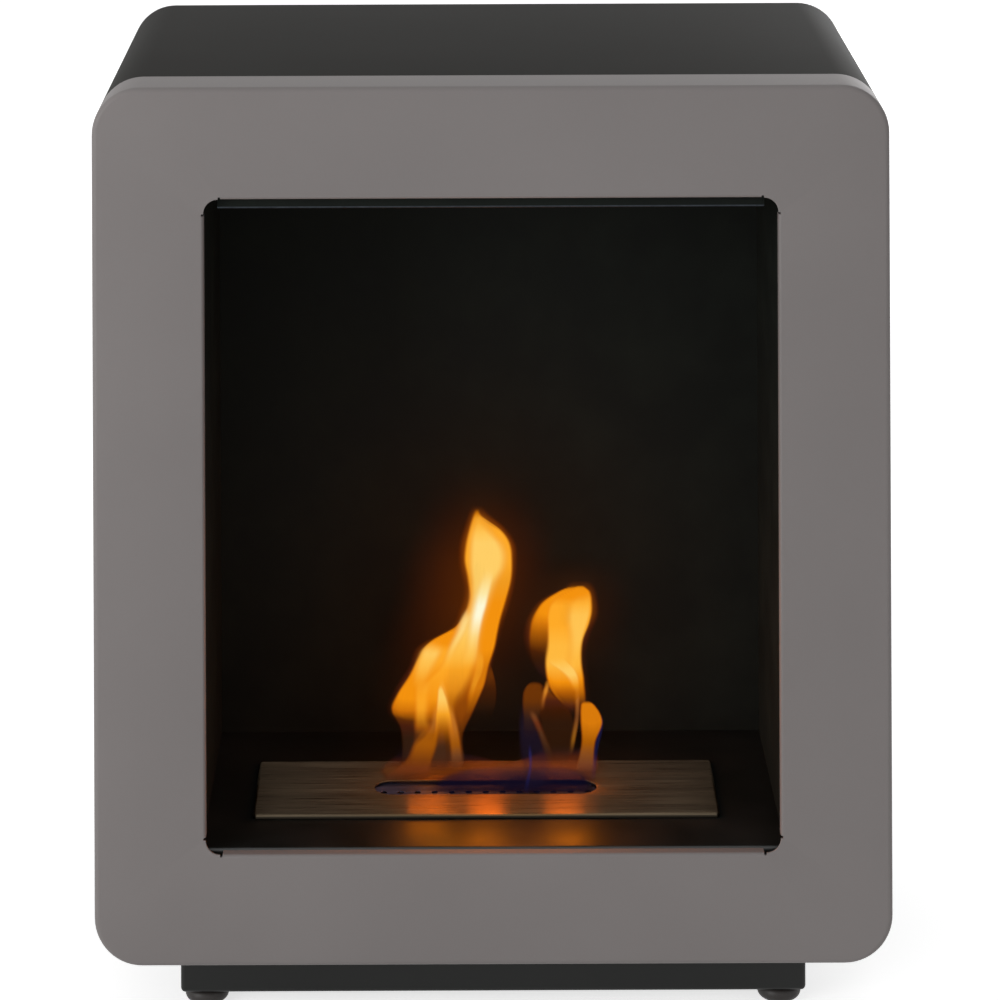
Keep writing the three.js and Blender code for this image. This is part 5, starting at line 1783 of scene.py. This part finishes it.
@dataclass
class Flames:
    """The two flames over the slot, as thin hollow sheets that bulge where the flame is wide."""

    cell: Point = (0.7, 0.8)
    margin: float = 32.0
    sway: float = 3.0
    sway_height: float = 60.0
    half_depth: float = 7.0
    least_half_depth: float = 0.25
    round_off: float = 9.0
    least_opacity: float = 0.004
    light_tone: str = "ff8410"
    light_radius: float = 14.0
    lights: tuple[tuple[float, float, float], ...] = (
        (-38.0, 28.0, 0.04), (-30.0, 60.0, 0.09), (-2.0, 50.0, 0.045), (0.0, 90.0, 0.1), (2.0, 145.0, 0.06),
        (51.0, 50.0, 0.09), (53.0, 105.0, 0.06))

    def build(self) -> list[bpy.types.Object]:
        """Makes the sheets and the lights in them."""
        plate = Extent.of("burner_plate")
        root = (plate.middle(0), plate.middle(1), plate.high[2])
        sheets = (
            # The first sheet is the painted glow round the flames, and it carries the flames' lights.
            ("painted_glow_halo", 12.0, PAINTED_GLOW_HALO), ("left_flame", 0.0, LEFT_FLAME),
            ("faint_lobe", 5.0, FAINT_LOBE), ("right_flame", 2.0, RIGHT_FLAME),
            ("hollow_loop", -3.0, HOLLOW_LOOP), ("small_dome", -5.0, SMALL_DOME),
            ("small_tongue", 1.0, SMALL_TONGUE))
        pieces = [self.sheet(name, root, depth, veils) for name, depth, veils in sheets]
        for x, height, power in self.lights:
            self.light(pieces[0], (root[0] + x, root[1], root[2] + height), power)
        return pieces

    def sheet(self, name: str, root: Place, depth: float, veils: Sequence[Veil]) -> bpy.types.Object:
        """One sheet: a front and a back skin with the veils painted on both.

        Args:
            name: the piece's name.
            root: the slot's centre on the plate.
            depth: how far the sheet lies behind the slot's centre.
            veils: what to paint, from behind to before.

        Returns:
            The object.
        """
        across, up = self.grid(veils)
        x, z = (grid.ravel() for grid in np.meshgrid(across, up))
        light, cover = np.zeros((x.size, 3)), np.zeros(x.size)
        for veil in veils:
            tone, hides = veil.paint(x, z)
            light = light * (1 - hides[:, None]) + tone * hides[:, None]
            cover = cover * (1 - hides) + hides
        tone = light / np.maximum(cover, 1e-6)[:, None]
        width = self.blurred(cover.reshape(up.size, across.size)).ravel()
        bulge = self.least_half_depth + self.half_depth * smooth_step(2 * width - 1)
        sway = depth + self.sway * np.sin(z / self.sway_height * math.pi)
        skins = [
            np.stack([root[0] + x, root[1] + sway + side * bulge, root[2] + z], axis=1) for side in (-1, 1)]
        faces = self.faces(cover.reshape(up.size, across.size))
        mesh = bpy.data.meshes.new(name)
        mesh.from_pydata(np.concatenate(skins) * MM, [], [*faces[:, ::-1], *(faces + x.size)])
        paint = mesh.color_attributes.new(LiveFlame.attribute, "FLOAT_COLOR", "POINT")
        skin = np.concatenate([tone, 1 - np.sqrt(1 - np.clip(cover, 0.0, 1.0))[:, None]], axis=1)
        paint.data.foreach_set("color", np.concatenate([skin, skin]).ravel())
        flame = make_piece(name, self.without_loose(mesh), LiveFlame(), body=BURNER)
        flame.visible_shadow = False
        return flame

    def blurred(self, cover: np.ndarray) -> np.ndarray:
        """The share of cover round each place of the grid, which is a half at a straight edge."""
        for axis, step in ((1, self.cell[0]), (0, self.cell[1])):
            reach = max(1, round(self.round_off / step))
            kernel = np.hanning(2 * reach + 3)
            spread = [
                np.convolve(line, kernel / kernel.sum(), "same") for line in np.moveaxis(cover, axis, 0).T]
            cover = np.moveaxis(np.array(spread).T, 0, axis)
        return cover

    def grid(self, veils: Sequence[Veil]) -> tuple[np.ndarray, np.ndarray]:
        """Places across and heights that cover some veils."""
        levels = [level for veil in veils for level in veil.levels]
        left = min(level[LEFT] for level in levels) - self.margin
        right = max(level[RIGHT] for level in levels) + self.margin
        bottom = min(level[HEIGHT] for level in levels)
        top = max(level[HEIGHT] for level in levels)
        across = np.arange(left, right + self.cell[0], self.cell[0])
        heights = np.arange(bottom, top + self.cell[1], self.cell[1])
        return across, heights

    def faces(self, cover: np.ndarray) -> np.ndarray:
        """The grid's cells where there is anything to see, as corner numbers."""
        rows, columns = cover.shape
        seen = cover > self.least_opacity
        kept = seen[:-1, :-1] | seen[1:, :-1] | seen[:-1, 1:] | seen[1:, 1:]
        row, column = np.nonzero(kept)
        corner = row * columns + column
        return np.stack([corner, corner + 1, corner + columns + 1, corner + columns], axis=1)

    def without_loose(self, mesh: bpy.types.Mesh) -> bmesh.types.BMesh:
        """A mesh less the points that no face uses. The mesh is used up."""
        kept = bmesh.new()
        kept.from_mesh(mesh)
        bmesh.ops.delete(kept, geom=[vert for vert in kept.verts if not vert.link_faces], context="VERTS")
        bpy.data.meshes.remove(mesh)
        return kept

    def light(self, carrier: bpy.types.Object, place: Place, power: float) -> None:
        """A small warm light that moves with a flame and isn't seen itself."""
        data = bpy.data.lights.new("flame_light", "POINT")
        data.energy = power
        data.color = colour(self.light_tone)[:3]
        data.shadow_soft_size = self.light_radius * MM
        lamp = bpy.data.objects.new("flame_light", data)
        lamp.location = [v * MM for v in place]
        lamp.parent = carrier
        lamp.visible_camera = False
        bpy.context.scene.collection.objects.link(lamp)


# ------------------------------------------------------------------ plinth and feet

@dataclass
class Plinth:
    """The black skirt under the body, with its bolts, nuts and the feet's threaded inserts."""

    CORNERS = ("front_left", "front_right", "rear_left", "rear_right")

    sheet: float = 2.0
    flange: float = 30.0
    corner_radius: float = 3.0
    bend: float = 1.0
    cut_edge: float = 0.3
    stud_hole: float = 4.3
    bolt_hole: float = 3.3
    bolt_size: float = 10.0
    bolt_radius: float = 3.0
    bolt_head: float = 4.0
    insert_size: float = 13.0
    insert_bore: float = 4.1
    steps: int = 6

    def build(self) -> list[bpy.types.Object]:
        """Makes the skirt and what is fixed to it."""
        pieces = [
            make_piece("black_plinth", self.skirt(), PLINTH_COAT, ["plinth_skirt"], sharp=40)]
        for corner in self.CORNERS:
            bolt, nut, insert = f"plinth_bolt_{corner}", f"plinth_nut_{corner}", f"foot_insert_{corner}"
            nut_mesh = hex_nut(Extent.of(nut), Plane.TOP, self.bolt_size, self.bolt_radius + 0.1)
            insert_mesh = hex_nut(Extent.of(insert), Plane.TOP, self.insert_size, self.insert_bore)
            pieces.append(make_piece(f"hex_{bolt}", self.bolt(Extent.of(bolt)), ZINC, [bolt]))
            pieces.append(make_piece(f"hex_{nut}", nut_mesh, ZINC, [nut]))
            pieces.append(make_piece(f"hex_{insert}", insert_mesh, ZINC, [insert]))
        return pieces

    def skirt(self) -> bmesh.types.BMesh:
        """The folded skirt with its holes."""
        extent = Extent.of("plinth_skirt")
        outline = RoundedRectangle(
            extent.size(0), extent.size(1), self.corner_radius, extent.centre(0, 1), self.steps)
        low, high, cut, sheet = extent.low[2], extent.high[2], self.cut_edge, self.sheet
        outer = self.bend + sheet
        turns = [math.radians(90 * i / 5) for i in range(6)]
        upper = [(outer - outer * math.sin(t), high - outer + outer * math.cos(t)) for t in turns]
        lower = [(outer - outer * math.cos(t), low + outer - outer * math.sin(t)) for t in turns]
        under = [(outer - self.bend * math.sin(t), low + outer - self.bend * math.cos(t)) for t in turns]
        over = [(outer - self.bend * math.cos(t), high - outer + self.bend * math.sin(t)) for t in turns]
        section = [
            (self.flange, high - cut), (self.flange - cut, high), *upper, *lower,
            (self.flange - cut, low), (self.flange, low + cut), (self.flange, low + sheet - cut),
            (self.flange - cut, low + sheet), *under, *over, (self.flange - cut, high - sheet),
            (self.flange, high - sheet + cut),
        ]
        rings = [Plane.TOP.ring(outline.points(inset, 1.0), z) for inset, z in section]
        holes = []
        for corner in self.CORNERS:
            stud, bolt = Extent.of(f"foot_stud_{corner}"), Extent.of(f"plinth_bolt_{corner}")
            start, end = low - OVERRUN, low + sheet + OVERRUN
            holes.append(rod(self.stud_hole, Plane.TOP, start, end, stud.centre(0, 1), 32))
            start, end = high - sheet - OVERRUN, high + OVERRUN
            holes.append(rod(self.bolt_hole, Plane.TOP, start, end, bolt.centre(0, 1)))
        return carved(loft(rings, Ends.JOINED), *holes)

    def bolt(self, extent: Extent) -> bmesh.types.BMesh:
        """A hex-head bolt, head up."""
        at = extent.centre(0, 1)
        low, high = extent.low[2], extent.high[2]
        seat = high - self.bolt_head
        rings = [
            (circle(at, self.bolt_radius * 0.7), low),
            (circle(at, self.bolt_radius), low + 0.9),
            (circle(at, self.bolt_radius), seat),
            (circle(at, self.bolt_size / 2 - 0.2), seat),
            (hexagon(self.bolt_size, at), seat + 0.2), (hexagon(self.bolt_size, at), high - 0.6),
            (circle(at, self.bolt_size / 2 - 0.3), high),
        ]
        return loft([Plane.TOP.ring(points, z) for points, z in rings])


@dataclass
class LevellingFeet:
    """Four moulded glides, each on a threaded stud."""

    radius: float = 14.0
    neck_radius: float = 9.0
    contact_radius: float = 5.0
    widest_height: float = 6.0
    underside_rise: float = 1.0
    socket_radius: float = 4.3
    socket_depth: float = 5.0
    pitch: float = 1.25
    thread_depth: float = 0.7
    thread_sides: int = 24
    thread_steps: int = 5

    def build(self) -> list[bpy.types.Object]:
        """Makes the glides and studs."""
        pieces = []
        for corner in Plinth.CORNERS:
            pad, stud = f"foot_pad_{corner}", f"foot_stud_{corner}"
            glide, thread = self.glide(Extent.of(pad)), self.stud(Extent.of(stud))
            pieces.append(make_piece(
                f"glide_{corner}", glide, FOOT_NYLON, [pad], f"glide_{corner}"))
            pieces.append(make_piece(
                f"threaded_stud_{corner}", thread, ZINC, [stud], f"stud_{corner}", sharp=80))
        return pieces

    def glide(self, extent: Extent) -> bmesh.types.BMesh:
        """The domed glide with a socket for its stud."""
        height = extent.high[2]
        lower = self.curve(
            (self.contact_radius, 0.0), (self.radius, self.underside_rise), (self.radius, self.widest_height))
        upper = self.curve(
            (self.radius, self.widest_height), (self.radius, height), (self.neck_radius, height))
        socket = height - self.socket_depth
        profile = [
            (self.contact_radius * 0.4, 0.0), *lower, *upper[1:], (self.socket_radius + 0.4, height),
            (self.socket_radius, height - 0.3), (self.socket_radius, socket)]
        return turned(profile, 64, extent.centre(0, 1))

    def curve(self, start: Point, pull: Point, end: Point, steps: int = 10) -> list[Point]:
        """Points on the curve from start to end that is drawn towards pull."""
        points = []
        for i in range(steps + 1):
            t = i / steps
            weights = ((1 - t) ** 2, 2 * t * (1 - t), t * t)
            pulls = list(zip(weights, (start, pull, end)))
            points.append((sum(w * p[0] for w, p in pulls), sum(w * p[1] for w, p in pulls)))
        return points

    def stud(self, extent: Extent) -> bmesh.types.BMesh:
        """The threaded stud: rings whose radius follows the thread round and up."""
        at = extent.centre(0, 1)
        low, high, radius = extent.low[2], extent.high[2], extent.size(0) / 2
        levels = int((high - low) / self.pitch * self.thread_steps)
        rings = []
        for level in range(levels + 1):
            z = low + (high - low) * level / levels
            taper = max(0.0, 0.8 - min(z - low, high - z))
            ring = []
            for side in range(self.thread_sides):
                turn = side / self.thread_sides
                phase = ((z - low) / self.pitch - turn) % 1
                r = radius - taper - self.thread_depth * (1 - abs(2 * phase - 1))
                angle = 2 * math.pi * turn
                ring.append(Plane.TOP.place((at[0] + r * math.cos(angle), at[1] + r * math.sin(angle)), z))
            rings.append(ring)
        return loft(rings)


# ------------------------------------------------------------------ studio

@dataclass
class PhotoCamera:
    """The photograph's camera: level, with its picture taken from far below the lens axis.

    The picture's plane is upright, so the object's upright lines stay upright. A sheared stand
    carries the camera, which needs no lens shift.
    """

    picture_size: float = 1000.0
    focal_pixels: float = 3565.0
    axis_pixel: Point = (456.5, -621.1)
    roll: float = -0.004
    place: Place = (-19.42, -2380.5, 1043.1)
    sensor: float = 36.0
    near: float = 0.1
    far: float = 60.0

    def build(self) -> bpy.types.Object:
        """Makes the camera and its stand, and takes the scene's picture with it."""
        right = Vector((math.cos(self.roll), 0.0, math.sin(self.roll)))
        up = Vector((-math.sin(self.roll), 0.0, math.cos(self.roll)))
        middle = self.picture_size / 2
        ahead = Vector((0.0, self.focal_pixels, 0.0))
        ahead = ahead + right * (middle - self.axis_pixel[0]) - up * (middle - self.axis_pixel[1])
        sheared = np.array([right, up, -ahead.normalized()]).T
        turn, stretch, inner = np.linalg.svd(sheared)
        for matrix in (turn, inner):
            if np.linalg.det(matrix) < 0:
                turn[:, 2] *= -1
                inner[2, :] *= -1
        stand = bpy.data.objects.new("camera_stand", None)
        stand.location = [v * MM for v in self.place]
        stand.rotation_euler = Matrix(turn.tolist()).to_euler()
        stand.scale = stretch.tolist()
        data = bpy.data.cameras.new("photo_camera")
        data.sensor_width = self.sensor
        data.lens = ahead.length * self.sensor / self.picture_size
        data.clip_start, data.clip_end = self.near, self.far
        camera = bpy.data.objects.new("photo_camera", data)
        camera.parent = stand
        camera.rotation_euler = Matrix(inner.tolist()).to_euler()
        for item in (stand, camera):
            bpy.context.scene.collection.objects.link(item)
        bpy.context.scene.camera = camera
        return camera


@dataclass
class Studio:
    """A white room: pale floor, even light all round, a broad soft key, a fill and a rear light."""

    floor_size: float = 16.0
    floor_tone: str = "e9e9e9"
    floor_lift: float = 0.69
    ambient: float = 0.5
    key_power: float = 51.0
    key_place: Place = (-2.4, -2.3, 0.8)
    key_size: float = 1.8
    fill_power: float = 2.5
    fill_place: Place = (2.2, -2.0, 1.2)
    fill_size: float = 1.6
    rear_power: float = 24.0
    rear_place: Place = (1.4, 2.9, 0.6)
    rear_size: float = 1.8

    def build(self) -> None:
        """Sets the view transform and makes floor, world and lamps."""
        bpy.context.scene.view_settings.view_transform = "Standard"
        bpy.context.scene.cycles.transparent_max_bounces = 48
        self.floor()
        self.world()
        self.lamp("key_light", self.key_place, self.key_size, self.key_power)
        self.lamp("fill_light", self.fill_place, self.fill_size, self.fill_power)
        self.lamp("rear_light", self.rear_place, self.rear_size, self.rear_power)

    def lamp(self, name: str, place: Place, size: float, power: float, aim: Place = (0.0, 0.0, 0.3)) -> None:
        """A square soft light, in metres and watts, that faces its aim."""
        data = bpy.data.lights.new(name, "AREA")
        data.shape, data.size, data.energy = "SQUARE", size, power
        lamp = bpy.data.objects.new(name, data)
        lamp.location = place
        lamp.rotation_euler = (Vector(aim) - Vector(place)).to_track_quat("-Z", "Y").to_euler()
        bpy.context.scene.collection.objects.link(lamp)

    def floor(self) -> None:
        """A pale floor that looks white but keeps the object's shadow."""
        material, tree, _ = new_material("pale_floor")
        seen = self.seen_directly(tree, self.floor_lift)
        shader = add_node(tree, "ShaderNodeBsdfDiffuse", links={"Color": colour(self.floor_tone)})
        lift = add_node(tree, "ShaderNodeEmission", links={"Strength": seen})
        both = add_node(tree, "ShaderNodeAddShader", links={0: shader.outputs[0], 1: lift.outputs[0]})
        close_material(tree, both.outputs[0])
        half = self.floor_size / 2 / MM
        mesh = bmesh.new()
        corners = [(-half, -half), (half, -half), (half, half), (-half, half)]
        mesh.faces.new([mesh.verts.new((x * MM, y * MM, 0.0)) for x, y in corners])
        floor = as_object(mesh, "floor")
        floor.data.materials.append(material)

    def seen_directly(self, tree: bpy.types.NodeTree, strength: float) -> bpy.types.NodeSocket:
        """A strength for rays from the camera, off gloss or through glass, and 0 for the rest."""
        path = add_node(tree, "ShaderNodeLightPath")
        first = add_node(tree, "ShaderNodeMath", {"operation": "MAXIMUM"}, {
            0: path.outputs["Is Camera Ray"], 1: path.outputs["Is Glossy Ray"]})
        either = add_node(tree, "ShaderNodeMath", {"operation": "MAXIMUM"}, {
            0: first.outputs[0], 1: path.outputs["Is Transmission Ray"]})
        return add_node(
            tree, "ShaderNodeMath", {"operation": "MULTIPLY"}, {0: either.outputs[0], 1: strength}).outputs[0]

    def world(self) -> None:
        """White to the eye and in reflections, and an even light for the rest."""
        world = bpy.data.worlds.new("studio")
        bpy.context.scene.world = world
        world.use_nodes = True
        tree = world.node_tree
        tree.nodes.clear()
        extra = self.seen_directly(tree, 1.0 - self.ambient)
        total = add_node(tree, "ShaderNodeMath", {"operation": "ADD"}, {0: extra, 1: self.ambient})
        light = add_node(
            tree, "ShaderNodeBackground", links={"Color": (1.0, 1.0, 1.0, 1.0), "Strength": total.outputs[0]})
        add_node(tree, "ShaderNodeOutputWorld", links={"Surface": light.outputs[0]})


# ------------------------------------------------------------------ the whole fireplace


def main() -> None:
    """Builds the fireplace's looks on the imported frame."""
    logging.basicConfig(level=logging.INFO, format="%(message)s")
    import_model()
    PhotoCamera().build()
    Studio().build()
    assemblies = (
        FrontFrame(), BodySleeve(), BackPanel(), Firebox(), HiddenSteelwork(), BurnerInsert(), Flames(),
        Plinth(), LevellingFeet())
    for assembly in assemblies:
        for piece in assembly.build():
            log.info("%s: %s, %d faces", type(assembly).__name__, piece.name, len(piece.data.polygons))


if __name__ == "__main__":
    main()
